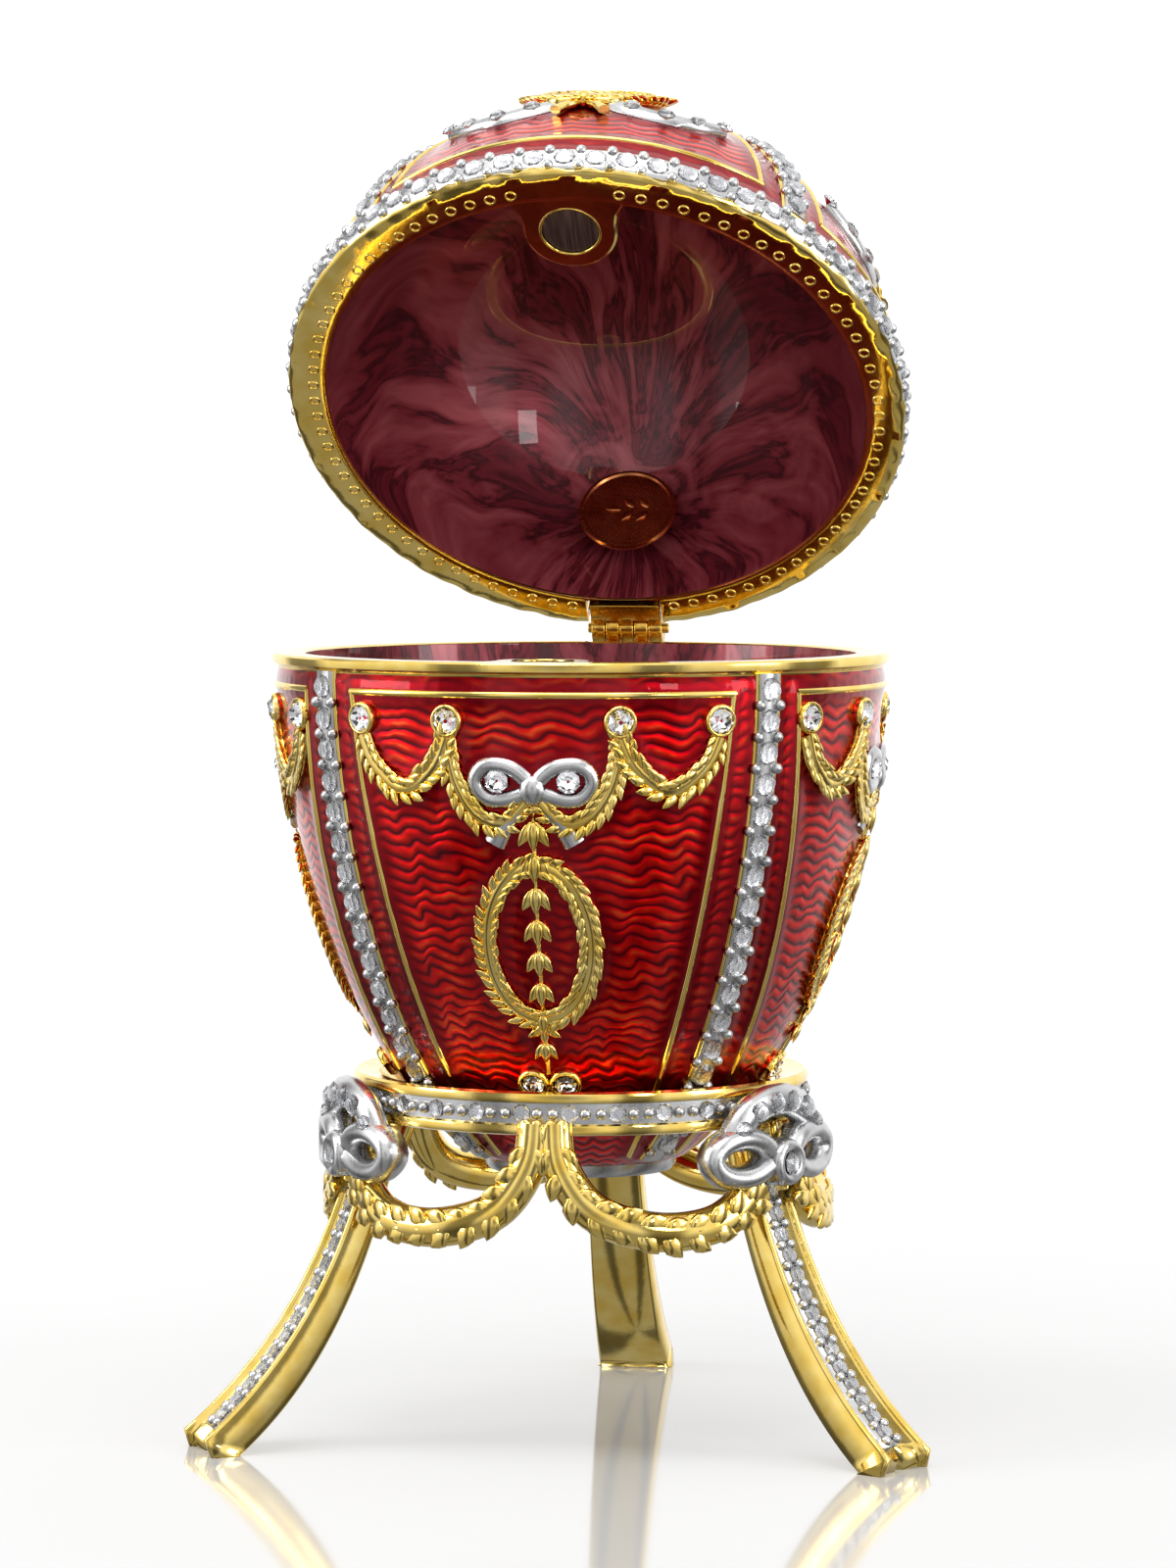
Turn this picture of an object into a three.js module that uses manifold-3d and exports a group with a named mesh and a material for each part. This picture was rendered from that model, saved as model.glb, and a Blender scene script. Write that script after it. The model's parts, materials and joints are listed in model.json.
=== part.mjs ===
// Jewelled egg trinket box, standing open on its own tripod stand.
//
// The egg is cast metal, gold plated, with red enamel in four panels that bands of crystals part.
// Its lid is joined to the bowl by a five-knuckle hinge at the back, and a pair of magnets at the
// front keeps it shut. The egg sits loose in the ring of a stand on three sabre legs, with a
// ribbon bow at the head of each leg and two laurel swags in each bay.
//
// Millimetres, +Z up. The front panel faces -Y, and the hinge pin runs along X at the back.
// Ornament is modelled flat, as x across, y along the surface and z outwards, then wrapped round.

import * as THREE from 'three';
import { mergeVertices } from 'three/addons/utils/BufferGeometryUtils.js';
import Module from 'manifold-3d';

const wasm = await Module();
wasm.setup();

// ---------------------------------------------------------------- driving dimensions, millimetres
const RIM_HEIGHT = 78.5; // plane where lid and bowl meet, above the floor
const RIM_RADIUS = 31; // gold lip of the bowl
const WALL = 3.4; // wall at the rim
const RIM_GAP = 0.2; // between the two rims when shut

const BOWL_RADIUS = 30.4; // enamelled wall just under the lip
const BOWL_DEPTH = 52; // rim to underside
const BOWL_REACH = 54.3; // depth at which the outline would close to a point
const BOWL_POWER = 1.85; // how full the outline is
const BASE_RADIUS = 9.4; // plain foot ring under the bowl

const LID_RADIUS = 30.8;
const LID_RISE = 31;
const OPEN_ANGLE = THREE.MathUtils.degToRad(46.5); // as it stands

const PANELS = 4;
const RELIEF = 0.95; // how far bands and laurel stand proud of the enamel
const BAND_WIDTH = 3.1;
const BAND_STEPS = 6;

const PIN_BACK = 32.9; // hinge pin behind the axis of the egg
const PIN_ABOVE_RIM = 1.3;
const PIN_RADIUS = 0.55;
const KNUCKLE_RADIUS = 1.7;
const KNUCKLE_BORE = 0.72;
const KNUCKLE_WIDTH = 1.4;
const KNUCKLE_PITCH = 1.52;
const LEAF_WIDTH = 7.4;
const LEAF_INSET = 28.7; // front face of both leaves
const LEAF_BACK = 30.95;
const LEAF_LENGTH = 3.4;
const FIT = 0.12; // clearance round pieces set into others

const LUG_RADIUS = 4.7; // tab that holds a magnet
const LUG_CENTRE = 23.8; // from the axis, towards the front
const LUG_THICKNESS = 3.2;
const MAGNET_RADIUS = 2.8;
const MAGNET_THICKNESS = 2;
const MAGNET_SINK = 0.25;

const PLAQUE_RADIUS = 5.2;
const PLAQUE_THICKNESS = 0.7;
const PLAQUE_GAP = 0.8; // to the curved wall behind it
const PLAQUE_RISE = THREE.MathUtils.degToRad(20); // up the inside of the lid, from the hinge side
const PLAQUE_TILT = THREE.MathUtils.degToRad(8); // of its face, which stands steeper than the wall there

const RING_RADIUS = 22.9;
const RING_TOP = 36.6;
const RING_HEIGHT = 4.3;
const CHANNEL_DEPTH = 0.6;

const LEGS = 3;
const LEG_WIDTH_TOP = 5.4;
const LEG_WIDTH_FOOT = 8;
const LEG_LIP = 0.9; // gold edge each side of the leg's channel
const LEG_CHANNEL = 0.9; // depth of that channel
const FOOT_NOTCH = 3;

const BOW_RADIUS = 24.6; // cylinder that the bows lie on
const BOW_HEIGHT = 29.4;
const SWAG_GIRTH = 1.75;

const LATHE_STEPS = 28;
const SLIVER = 0.02;

// ---------------------------------------------------------------- materials
function finish(color, roughness, metalness) {
  return new THREE.MeshStandardMaterial({ color, roughness, metalness });
}
const goldPlate = finish('#d9a93c', 0.2, 1);
const hingeBrass = finish('#a98235', 0.35, 1);
const redEnamel = finish('#a30a12', 0.12, 0.4);
const magnetSteel = finish('#6a6064', 0.35, 1);
const crystalGlass = finish('#e8ecf0', 0.05, 0.1);

// ---------------------------------------------------------------- solids
function toSolid(geometry) {
  const bare = new THREE.BufferGeometry().setAttribute('position', geometry.getAttribute('position'));
  if (geometry.index) bare.setIndex(geometry.index);
  const merged = mergeVertices(bare, 1e-3);
  const corners = merged.index.array;
  const kept = [];
  for (let i = 0; i < corners.length; i += 3) {
    const [a, b, c] = [corners[i], corners[i + 1], corners[i + 2]];
    if (a !== b && b !== c && c !== a) kept.push(a, b, c);
  }
  const vertProperties = merged.attributes.position.array;
  return new wasm.Manifold(new wasm.Mesh({ numProp: 3, vertProperties, triVerts: new Uint32Array(kept) }));
}

// Joining leaves slivers, which are merged away when they are thinner than this.
function toMesh(name, solid, material) {
  const { numProp, numVert, vertProperties, triVerts } = solid.simplify(SLIVER).getMesh();
  const positions = new Float32Array(numVert * 3);
  for (let i = 0; i < numVert; i++) {
    positions.set(vertProperties.subarray(i * numProp, i * numProp + 3), i * 3);
  }
  const geometry = new THREE.BufferGeometry();
  geometry.setAttribute('position', new THREE.BufferAttribute(positions, 3));
  geometry.setIndex(new THREE.BufferAttribute(triVerts, 1));
  geometry.computeVertexNormals();
  const mesh = new THREE.Mesh(geometry, material);
  mesh.name = name;
  return mesh;
}

function join(solids) {
  return solids.reduce((whole, piece) => whole.add(piece));
}

function turned(solid, degrees) {
  return solid.rotate([0, 0, degrees]);
}

// A closed profile of [radius, height] pairs, spun about +Z.
function lathe(profile, steps = LATHE_STEPS) {
  const points = profile.map(([radius, height]) => new THREE.Vector2(radius, height));
  return toSolid(new THREE.LatheGeometry(points, steps).rotateX(Math.PI / 2));
}

function block(width, depth, height, x, y, z) {
  return toSolid(new THREE.BoxGeometry(width, depth, height).translate(x, y, z));
}

// A round bar along X.
function crossBar(radius, length, x, y, z, sides) {
  const bar = new THREE.CylinderGeometry(radius, radius, length, sides).rotateZ(Math.PI / 2);
  return toSolid(bar.translate(x, y, z));
}

// A round upright post.
function post(radius, height, y, z, sides = 16) {
  const upright = new THREE.CylinderGeometry(radius, radius, height, sides).rotateX(Math.PI / 2);
  return toSolid(upright.translate(0, y, z));
}

// ---------------------------------------------------------------- outlines of the egg
// Each runs from the rim, where t is 0, with x as radius and y as height.
class BowlOutline extends THREE.Curve {
  constructor(radius, depth, reach) {
    super();
    Object.assign(this, { radius, depth, reach });
  }
  getPoint(t) {
    const drop = this.depth * Math.sin((t * Math.PI) / 2);
    const radius = this.radius * Math.sqrt(1 - (drop / this.reach) ** BOWL_POWER);
    return new THREE.Vector2(radius, RIM_HEIGHT - drop);
  }
}

class LidOutline extends THREE.Curve {
  constructor(radius, rise) {
    super();
    Object.assign(this, { radius, rise });
  }
  getPoint(t) {
    const angle = (t * Math.PI) / 2;
    return new THREE.Vector2(this.radius * Math.cos(angle), RIM_HEIGHT + this.rise * Math.sin(angle));
  }
}

const bowlOutside = new BowlOutline(BOWL_RADIUS, BOWL_DEPTH, BOWL_REACH);
const bowlInside = new BowlOutline(RIM_RADIUS - WALL, BOWL_DEPTH - WALL, BOWL_DEPTH - WALL);
const lidOutside = new LidOutline(LID_RADIUS, LID_RISE);
const lidInside = new LidOutline(RIM_RADIUS - WALL, LID_RISE - WALL + 0.6);

const outlinePoints = (outline, count) => outline.getSpacedPoints(count).map((p) => [p.x, p.y]);

// ---------------------------------------------------------------- ornament: flat, then wrapped
// A surface tells, at a distance along it, its radius, its height and which way it faces.
function alongOutline(outline) {
  const length = outline.getLength();
  return (distance) => {
    const u = THREE.MathUtils.clamp(distance / length, 0, 1);
    const point = outline.getPointAt(u);
    const tangent = outline.getTangentAt(u);
    const rising = tangent.y > 0 ? 1 : -1;
    return { radius: point.x, height: point.y, out: tangent.y * rising, up: -tangent.x * rising };
  };
}

const onBowl = alongOutline(bowlOutside);
const onLid = alongOutline(lidOutside);
const onCylinder = (radius) => (distance) => ({ radius, height: distance, out: 1, up: 0 });

// Wraps flat ornament round a surface at an azimuth, where 0 is the front and 90 is +X.
// downwards says that y runs down the surface, as it does on the bowl.
function wrap(geometry, surface, azimuth, downwards = false) {
  const flat = geometry.getAttribute('position');
  const centre = THREE.MathUtils.degToRad(azimuth);
  for (let i = 0; i < flat.count; i++) {
    const { radius, height, out, up } = surface(downwards ? -flat.getY(i) : flat.getY(i));
    const angle = centre + flat.getX(i) / radius;
    const reach = radius + flat.getZ(i) * out;
    flat.setXYZ(i, reach * Math.sin(angle), -reach * Math.cos(angle), height + flat.getZ(i) * up);
  }
  return toSolid(geometry);
}

function flatPath(points) {
  return new THREE.CatmullRomCurve3(points.map(([x, y, z = 0]) => new THREE.Vector3(x, y, z)));
}

// A rod along a flat path, whose girth may change on the way. breadth widens it along the surface.
function rod(path, girth, steps, sides, breadth = 1) {
  const geometry = new THREE.CylinderGeometry(1, 1, 1, sides, steps);
  const at = geometry.getAttribute('position');
  const outwards = new THREE.Vector3(0, 0, 1);
  for (let i = 0; i < at.count; i++) {
    const along = THREE.MathUtils.clamp(at.getY(i) + 0.5, 0, 1);
    const point = path.getPointAt(along);
    const side = new THREE.Vector3().crossVectors(path.getTangentAt(along), outwards).normalize();
    const size = girth(along);
    point.addScaledVector(side, at.getX(i) * size * breadth).addScaledVector(outwards, at.getZ(i) * size);
    at.setXYZ(i, point.x, point.y, point.z);
  }
  return geometry;
}

// Laurel swells once for each pair of leaves and tapers to both ends.
function leafy(girth, leaves) {
  const swell = (t) => 0.76 + 0.24 * (Math.round(t * leaves * 2) % 2);
  const body = (t) => 0.65 + 0.35 * Math.sin(Math.PI * t);
  return (t) => girth * swell(t) * body(t);
}

// Laurel lying on a wall is a ridge with three sides, its flat side buried.
function laurelRidge(points, girth, leaves) {
  return rod(flatPath(points), leafy(girth, leaves), leaves * 2, 3, 1.5);
}

// A closed oval wreath of the same section, as proud as it is told to be.
function wreathRidge(halfWidth, halfHeight, girth, proud, centre) {
  const section = [[-1.3 * girth, -0.5], [1.3 * girth, -0.5], [0, proud], [-1.3 * girth, -0.5]];
  const profile = section.map(([across, height]) => new THREE.Vector2(halfHeight + across, height));
  const ring = new THREE.LatheGeometry(profile, 12, Math.PI / 12).rotateX(Math.PI / 2);
  return ring.scale(halfWidth / halfHeight, 1, 1).translate(0, centre, 0);
}

// A flat oval ring of ribbon with some thickness.
function ribbonLoop(halfWidth, halfHeight, thickness, depth, x, y, tilt) {
  const outer = new THREE.Shape().absellipse(0, 0, halfWidth, halfHeight, 0, Math.PI * 2);
  const hole = new THREE.Path();
  hole.absellipse(0, 0, halfWidth - thickness, halfHeight - thickness, 0, Math.PI * 2, true);
  outer.holes.push(hole);
  const loop = new THREE.ExtrudeGeometry(outer, { depth, bevelEnabled: false, curveSegments: 4 });
  return loop.translate(0, 0, -depth / 2).rotateZ(tilt).translate(x, y, 0);
}

// A tied bow as one flat plate: two loops, a knot and two tails.
function bowPlate(reach, thickness) {
  const half = [[0, 0.9], [0.55 * reach, 1.9], [reach, 1.4], [reach, -0.6], [0.4 * reach, -0.7],
    [0.75 * reach, -3.2], [0.45 * reach, -3.6], [0, -1.3]];
  const mirrored = half.slice(1, -1).reverse().map(([x, y]) => [-x, y]);
  const outline = new THREE.Shape([...half, ...mirrored].reverse().map(([x, y]) => new THREE.Vector2(x, y)));
  const plate = new THREE.ExtrudeGeometry(outline, { depth: thickness + 0.6, bevelEnabled: false });
  return plate.translate(0, 0, -0.6);
}

// A low round setting or boss.
function stud(radius, height, x, y, sides = 6) {
  const boss = new THREE.CylinderGeometry(radius * 0.86, radius, height + 0.5, sides);
  return boss.rotateX(Math.PI / 2).translate(x, y, height / 2 - 0.25);
}

// A raised band, from one distance along the surface to another.
function band(start, end, surface, azimuth, downwards = false) {
  const middle = (start + end) / 2;
  const strip = new THREE.BoxGeometry(BAND_WIDTH, end - start, RELIEF + 0.6, 1, BAND_STEPS, 1);
  strip.translate(0, downwards ? -middle : middle, (RELIEF - 0.6) / 2);
  return wrap(strip, surface, azimuth, downwards);
}

// ---------------------------------------------------------------- crystal studs at the head of a bowl panel
const STUD_DROP = 5.6;
const STUD_RADIUS = 1.65;
const STUD_HEIGHT = 0.8;
const INNER_STUD = 8.4;
const OUTER_STUD = 18.3;
const STUD_PLACES = [-OUTER_STUD, -INNER_STUD, INNER_STUD, OUTER_STUD];

// ---------------------------------------------------------------- bowl
function bowlPanelOrnament(azimuth) {
  const pieces = [];
  const add = (geometry) => pieces.push(wrap(geometry, onBowl, azimuth, true));
  for (const x of STUD_PLACES) add(stud(STUD_RADIUS, STUD_HEIGHT, x, -STUD_DROP));
  for (const side of [-1, 1]) {
    const [inner, outer] = [side * INNER_STUD, side * OUTER_STUD];
    const middle = (inner + outer) / 2;
    const out = side * 2.6;
    const swag = [[outer, -7], [middle + out, -10.8], [middle, -11.6], [middle - out, -10.8], [inner, -7]];
    add(laurelRidge(swag, 0.95, 3));
    add(laurelRidge([[inner, -7], [side * 6.2, -11.5], [side * 4.2, -15.5], [side * 0.3, -18.9]], 0.9, 3));
  }
  add(bowPlate(5, 1).translate(0, -12, 0));
  add(wreathRidge(4.9, 8, 0.85, 0.95, -26.8));
  add(rod(flatPath([[0, -14], [0, -28], [0, -42.5]]), () => 0.7, 4, 3));
  return join(pieces);
}

function magnetLug(below) {
  const thickness = LUG_THICKNESS;
  const low = below ? RIM_HEIGHT - thickness : RIM_HEIGHT + RIM_GAP;
  const tab = post(LUG_RADIUS, thickness, -LUG_CENTRE, low + thickness / 2);
  const neck = block(LUG_RADIUS * 2, 5.4, thickness, 0, -LUG_CENTRE - 2.7, low + thickness / 2);
  return tab.add(neck);
}

function magnetSeat(below) {
  const depth = MAGNET_THICKNESS + MAGNET_SINK + FIT;
  const face = below ? RIM_HEIGHT : RIM_HEIGHT + RIM_GAP;
  const middle = below ? face - depth / 2 + 0.5 : face + depth / 2 - 0.5;
  return post(MAGNET_RADIUS + FIT, depth + 1, -LUG_CENTRE, middle);
}

function hingeNotch(below) {
  const height = LEAF_LENGTH + 2;
  const end = below ? RIM_HEIGHT - LEAF_LENGTH - FIT : RIM_HEIGHT + RIM_GAP + LEAF_LENGTH + FIT;
  const centre = below ? end + height / 2 : end - height / 2;
  return block(LEAF_WIDTH + 2 * FIT + 0.4, 9, height, 0, LEAF_INSET + 3.5, centre);
}

function makeBowl() {
  const base = RIM_HEIGHT - BOWL_DEPTH;
  const outside = outlinePoints(bowlOutside, 9).reverse();
  const inside = outlinePoints(bowlInside, 6);
  const shell = lathe([
    [0, base + 0.6],
    [BASE_RADIUS - 2.4, base + 0.6],
    [BASE_RADIUS - 1.6, base],
    [BASE_RADIUS, base],
    [BASE_RADIUS + 0.3, base + 1.2],
    ...outside.filter(([, height]) => height > base + 1.6 && height < RIM_HEIGHT - 1.3),
    [BOWL_RADIUS, RIM_HEIGHT - 1.3],
    [RIM_RADIUS, RIM_HEIGHT - 0.9],
    [RIM_RADIUS, RIM_HEIGHT],
    ...inside,
  ]);
  const pieces = [shell];
  for (let i = 0; i < PANELS; i++) {
    const azimuth = (360 / PANELS) * i;
    pieces.push(bowlPanelOrnament(azimuth));
    pieces.push(band(1.2, 55, onBowl, azimuth + 180 / PANELS, true));
  }
  pieces.push(magnetLug(true));
  return join(pieces).subtract(hingeNotch(true)).subtract(magnetSeat(true));
}

// ---------------------------------------------------------------- lid, modelled shut
const LID_BAND_LOW = 0.9;
const LID_BAND_HIGH = 4.1;

function lidPanelOrnament(azimuth) {
  const pieces = [];
  const add = (geometry) => pieces.push(wrap(geometry, onLid, azimuth));
  add(wreathRidge(6.2, 6.2, 1.2, 1.9, 23.4));
  add(bowPlate(3.4, 1.6).translate(0, 16.6, 0));
  for (const side of [-1, 1]) {
    add(laurelRidge([[side * 1.4, 16.6], [side * 5, 14.2], [side * 9, 15.2], [side * 13, 12]], 1.1, 3));
  }
  return join(pieces);
}

function makeLid() {
  const outside = outlinePoints(lidOutside, 7);
  const inside = outlinePoints(lidInside, 6).reverse();
  const floor = RIM_HEIGHT + RIM_GAP;
  const shell = lathe([
    ...inside.map(([radius, height]) => [radius, height === RIM_HEIGHT ? floor : height]),
    [RIM_RADIUS, floor],
    [RIM_RADIUS + 0.3, floor + LID_BAND_LOW - 0.2],
    [RIM_RADIUS + 0.9, RIM_HEIGHT + LID_BAND_LOW + 0.6],
    [RIM_RADIUS + 0.7, RIM_HEIGHT + LID_BAND_HIGH - 0.6],
    [LID_RADIUS - 0.2, RIM_HEIGHT + LID_BAND_HIGH],
    ...outside.filter(([, height]) => height > RIM_HEIGHT + LID_BAND_HIGH + 0.5),
  ]);
  const pieces = [shell];
  for (let i = 0; i < PANELS; i++) {
    const azimuth = (360 / PANELS) * i;
    pieces.push(lidPanelOrnament(azimuth));
    pieces.push(band(3.6, 43.6, onLid, azimuth + 180 / PANELS));
  }
  const crown = RIM_HEIGHT + LID_RISE;
  pieces.push(lathe([[0, crown - 2], [5.6, crown - 2], [5.6, crown], [4.6, crown + 0.8], [3, crown + 0.6],
    [2.2, crown + 1.6], [0, crown + 2]], 16));
  pieces.push(magnetLug(false));
  return join(pieces).subtract(hingeNotch(false)).subtract(magnetSeat(false));
}

// ---------------------------------------------------------------- hinge, modelled shut
const PIN_HEIGHT = RIM_HEIGHT + PIN_ABOVE_RIM;

// A leaf set in a notch of the wall, with its own knuckles round the pin.
function hingeLeaf(knuckles, below) {
  const near = below ? RIM_HEIGHT - 0.05 : RIM_HEIGHT + RIM_GAP + 0.05;
  const far = below ? RIM_HEIGHT - LEAF_LENGTH : RIM_HEIGHT + RIM_GAP + LEAF_LENGTH;
  const depth = LEAF_BACK - LEAF_INSET;
  const height = Math.abs(far - near);
  const plate = block(LEAF_WIDTH, depth, height, 0, LEAF_INSET + depth / 2, (near + far) / 2);
  const webHeight = 1.3;
  const web = below ? near - webHeight / 2 : near + webHeight / 2;
  const webFront = LEAF_BACK - 0.4;
  const pieces = [plate];
  for (const place of knuckles) {
    const x = place * KNUCKLE_PITCH;
    pieces.push(crossBar(KNUCKLE_RADIUS, KNUCKLE_WIDTH, x, PIN_BACK, PIN_HEIGHT, 12));
    pieces.push(block(KNUCKLE_WIDTH, PIN_BACK - webFront, webHeight, x, (PIN_BACK + webFront) / 2, web));
  }
  return join(pieces).subtract(crossBar(KNUCKLE_BORE, LEAF_WIDTH * 2, 0, PIN_BACK, PIN_HEIGHT, 8));
}

// ---------------------------------------------------------------- plaque and magnets
function magnet(below) {
  const face = below ? RIM_HEIGHT - MAGNET_SINK : RIM_HEIGHT + RIM_GAP + MAGNET_SINK;
  const middle = below ? face - MAGNET_THICKNESS / 2 : face + MAGNET_THICKNESS / 2;
  return post(MAGNET_RADIUS, MAGNET_THICKNESS, -LUG_CENTRE, middle);
}

function makePlaque() {
  const disc = new THREE.CylinderGeometry(PLAQUE_RADIUS, PLAQUE_RADIUS, PLAQUE_THICKNESS, 24);
  const mesh = toMesh('plaque', toSolid(disc.rotateX(Math.PI / 2)), goldPlate);
  const radius = lidInside.radius * Math.cos(PLAQUE_RISE);
  const height = RIM_HEIGHT + lidInside.rise * Math.sin(PLAQUE_RISE);
  const sag = PLAQUE_RADIUS ** 2 / (2 * lidInside.radius) + PLAQUE_THICKNESS / 2 + PLAQUE_GAP;
  const away = sag + PLAQUE_RADIUS * Math.sin(PLAQUE_RISE - PLAQUE_TILT);
  mesh.position.set(0, radius - away * Math.cos(PLAQUE_TILT), height - away * Math.sin(PLAQUE_TILT));
  mesh.rotation.x = Math.PI / 2 + PLAQUE_TILT;
  return mesh;
}

// ---------------------------------------------------------------- stand
function standRing() {
  const bottom = RING_TOP - RING_HEIGHT;
  const clearOf = (height) => {
    const drop = RIM_HEIGHT - height;
    return BOWL_RADIUS * Math.sqrt(1 - (drop / BOWL_REACH) ** BOWL_POWER) + RELIEF + 0.55;
  };
  const floor = RING_RADIUS - CHANNEL_DEPTH;
  return lathe([
    [clearOf(RING_TOP), RING_TOP],
    [clearOf(bottom), bottom],
    [RING_RADIUS, bottom],
    [RING_RADIUS, bottom + 1.15],
    [floor, bottom + 1.25],
    [floor, RING_TOP - 1.25],
    [RING_RADIUS, RING_TOP - 1.15],
    [RING_RADIUS, RING_TOP],
    [clearOf(RING_TOP), RING_TOP],
  ], 30);
}

// The side view of a leg: x is the distance from the axis and y the height.
function legOutline(shape, inset) {
  shape.moveTo(22.6 - inset, 33.4);
  shape.quadraticCurveTo(26.6 - inset, 13.2, 40.9 - inset, 1.8);
  return shape;
}

function makeLeg() {
  const side = legOutline(new THREE.Shape(), 0);
  side.lineTo(40.3, 0);
  side.lineTo(37.2, 0);
  side.quadraticCurveTo(24.2, 10.2, 19.6, 33.4);
  const channel = legOutline(new THREE.Shape(), LEG_CHANNEL);
  channel.lineTo(45, 1.8);
  channel.lineTo(45, 33.4);
  const upright = (shape, width, clearance) => {
    const geometry = new THREE.ExtrudeGeometry(shape, { depth: 1, bevelEnabled: false, curveSegments: 6 });
    const at = geometry.getAttribute('position');
    for (let i = 0; i < at.count; i++) {
      const [reach, height] = [at.getX(i), at.getY(i)];
      const fullness = THREE.MathUtils.clamp(height / 26, 0, 1) ** 0.6;
      const half = THREE.MathUtils.lerp(LEG_WIDTH_FOOT, width, fullness) / 2 - clearance;
      at.setXYZ(i, (0.5 - at.getZ(i)) * 2 * half, -reach, height);
    }
    return toSolid(geometry);
  };
  const notch = new THREE.Shape().moveTo(-FOOT_NOTCH * 0.62, -0.6);
  notch.lineTo(FOOT_NOTCH * 0.62, -0.6);
  notch.lineTo(0, FOOT_NOTCH);
  const cleft = new THREE.ExtrudeGeometry(notch, { depth: 6, bevelEnabled: false });
  cleft.rotateX(Math.PI / 2 + 0.5).translate(0, -38.4, 0.4);
  return upright(side, LEG_WIDTH_TOP, 0)
    .subtract(upright(channel, LEG_WIDTH_TOP, LEG_LIP))
    .subtract(toSolid(cleft));
}

function makeBow(azimuth) {
  const surface = onCylinder(BOW_RADIUS);
  const pieces = [];
  const add = (geometry) => pieces.push(wrap(geometry, surface, azimuth));
  for (const side of [-1, 1]) add(ribbonLoop(4.4, 2.9, 1.5, 2.8, side * 5.6, BOW_HEIGHT + 0.6, side * 0.12));
  add(ribbonLoop(4.2, 3, 1.35, 2.4, 0, BOW_HEIGHT + 4.6, 0));
  add(stud(2.3, 3.4, 0, BOW_HEIGHT - 0.4, 10));
  return join(pieces);
}

function makeSwag(azimuth, side) {
  const reach = (degrees) => (side * THREE.MathUtils.degToRad(degrees)) * BOW_RADIUS;
  const path = [
    [reach(2.6), 33.4, -2.6],
    [reach(4), 29.4, -2],
    [reach(12), 25, -1.2],
    [reach(27), 23, -0.6],
    [reach(42), 23.6, -0.2],
    [reach(54), 26.6, -0.4],
  ];
  return wrap(rod(flatPath(path), leafy(SWAG_GIRTH, 5), 10, 4), onCylinder(BOW_RADIUS), azimuth);
}

function makeStand() {
  const pieces = [standRing()];
  for (let i = 0; i < LEGS; i++) {
    const legAzimuth = 180 + (360 / LEGS) * i;
    pieces.push(turned(makeLeg(), legAzimuth));
    pieces.push(makeBow(legAzimuth));
    for (const side of [-1, 1]) pieces.push(makeSwag(legAzimuth + 180, side));
  }
  return join(pieces);
}

// ---------------------------------------------------------------- crystals set apart
function crystal(radius) {
  const height = radius * 0.6;
  return toSolid(new THREE.CylinderGeometry(radius * 0.55, radius, height, 8).rotateX(Math.PI / 2));
}

function setCrystal(name, radius, surface, azimuth, distance, proud) {
  const mesh = toMesh(name, crystal(radius), crystalGlass);
  const { radius: reach, height, out, up } = surface(distance);
  const angle = THREE.MathUtils.degToRad(azimuth);
  const lift = proud + FIT + radius * 0.3;
  const away = reach + lift * out;
  mesh.position.set(Math.sin(angle) * away, -Math.cos(angle) * away, height + lift * up);
  mesh.rotation.order = 'ZXY';
  mesh.rotation.z = angle;
  mesh.rotation.x = Math.PI / 2 - Math.atan2(up, out);
  return mesh;
}

// ---------------------------------------------------------------- assembly
const egg = new THREE.Group();
egg.add(toMesh('stand', makeStand(), goldPlate));
egg.add(toMesh('bowl', makeBowl(), redEnamel));
egg.add(toMesh('hinge_leaf_bowl', hingeLeaf([-1, 1], true), hingeBrass));
egg.add(toMesh('hinge_pin', crossBar(PIN_RADIUS, 8.6, 0, PIN_BACK, PIN_HEIGHT, 8), hingeBrass));
egg.add(toMesh('magnet_bowl', magnet(true), magnetSteel));

for (let panel = 0; panel < PANELS; panel++) {
  STUD_PLACES.forEach((x, place) => {
    const azimuth = (360 / PANELS) * panel + THREE.MathUtils.radToDeg(x / onBowl(STUD_DROP).radius);
    const name = `crystal_panel${panel + 1}_${place + 1}`;
    egg.add(setCrystal(name, 1.25, onBowl, azimuth, STUD_DROP, STUD_HEIGHT));
  });
}
for (let i = 0; i < LEGS; i++) {
  const azimuth = 180 + (360 / LEGS) * i;
  egg.add(setCrystal(`crystal_bow_${i + 1}`, 1.2, onCylinder(BOW_RADIUS), azimuth, BOW_HEIGHT - 0.4, 3.4));
}

const lidGroup = new THREE.Group();
lidGroup.position.set(0, PIN_BACK, PIN_HEIGHT);
lidGroup.rotation.x = -OPEN_ANGLE;
const lidShut = new THREE.Group();
lidShut.position.set(0, -PIN_BACK, -PIN_HEIGHT);
lidShut.add(toMesh('lid', makeLid(), redEnamel));
lidShut.add(toMesh('hinge_leaf_lid', hingeLeaf([-2, 0, 2], false), hingeBrass));
lidShut.add(toMesh('magnet_lid', magnet(false), magnetSteel));
lidShut.add(makePlaque());
lidGroup.add(lidShut);
egg.add(lidGroup);

// The origin is on the floor, under the middle of the whole.
const overall = new THREE.Box3().setFromObject(egg, true);
egg.position.y = -(overall.min.y + overall.max.y) / 2;

export default egg;
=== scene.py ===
# %% [markdown]
# # A jewelled egg trinket box
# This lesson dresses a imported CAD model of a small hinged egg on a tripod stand. The CAD gives the
# sizes, the hinge and the bodies that move. Here each casting gets its real surface: clear red
# enamel over a waved ground, gold and silver plate, and rows of set crystals.

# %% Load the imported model
import json
import math

import bpy
import numpy as np
from mathutils import Matrix, Vector, kdtree


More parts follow.
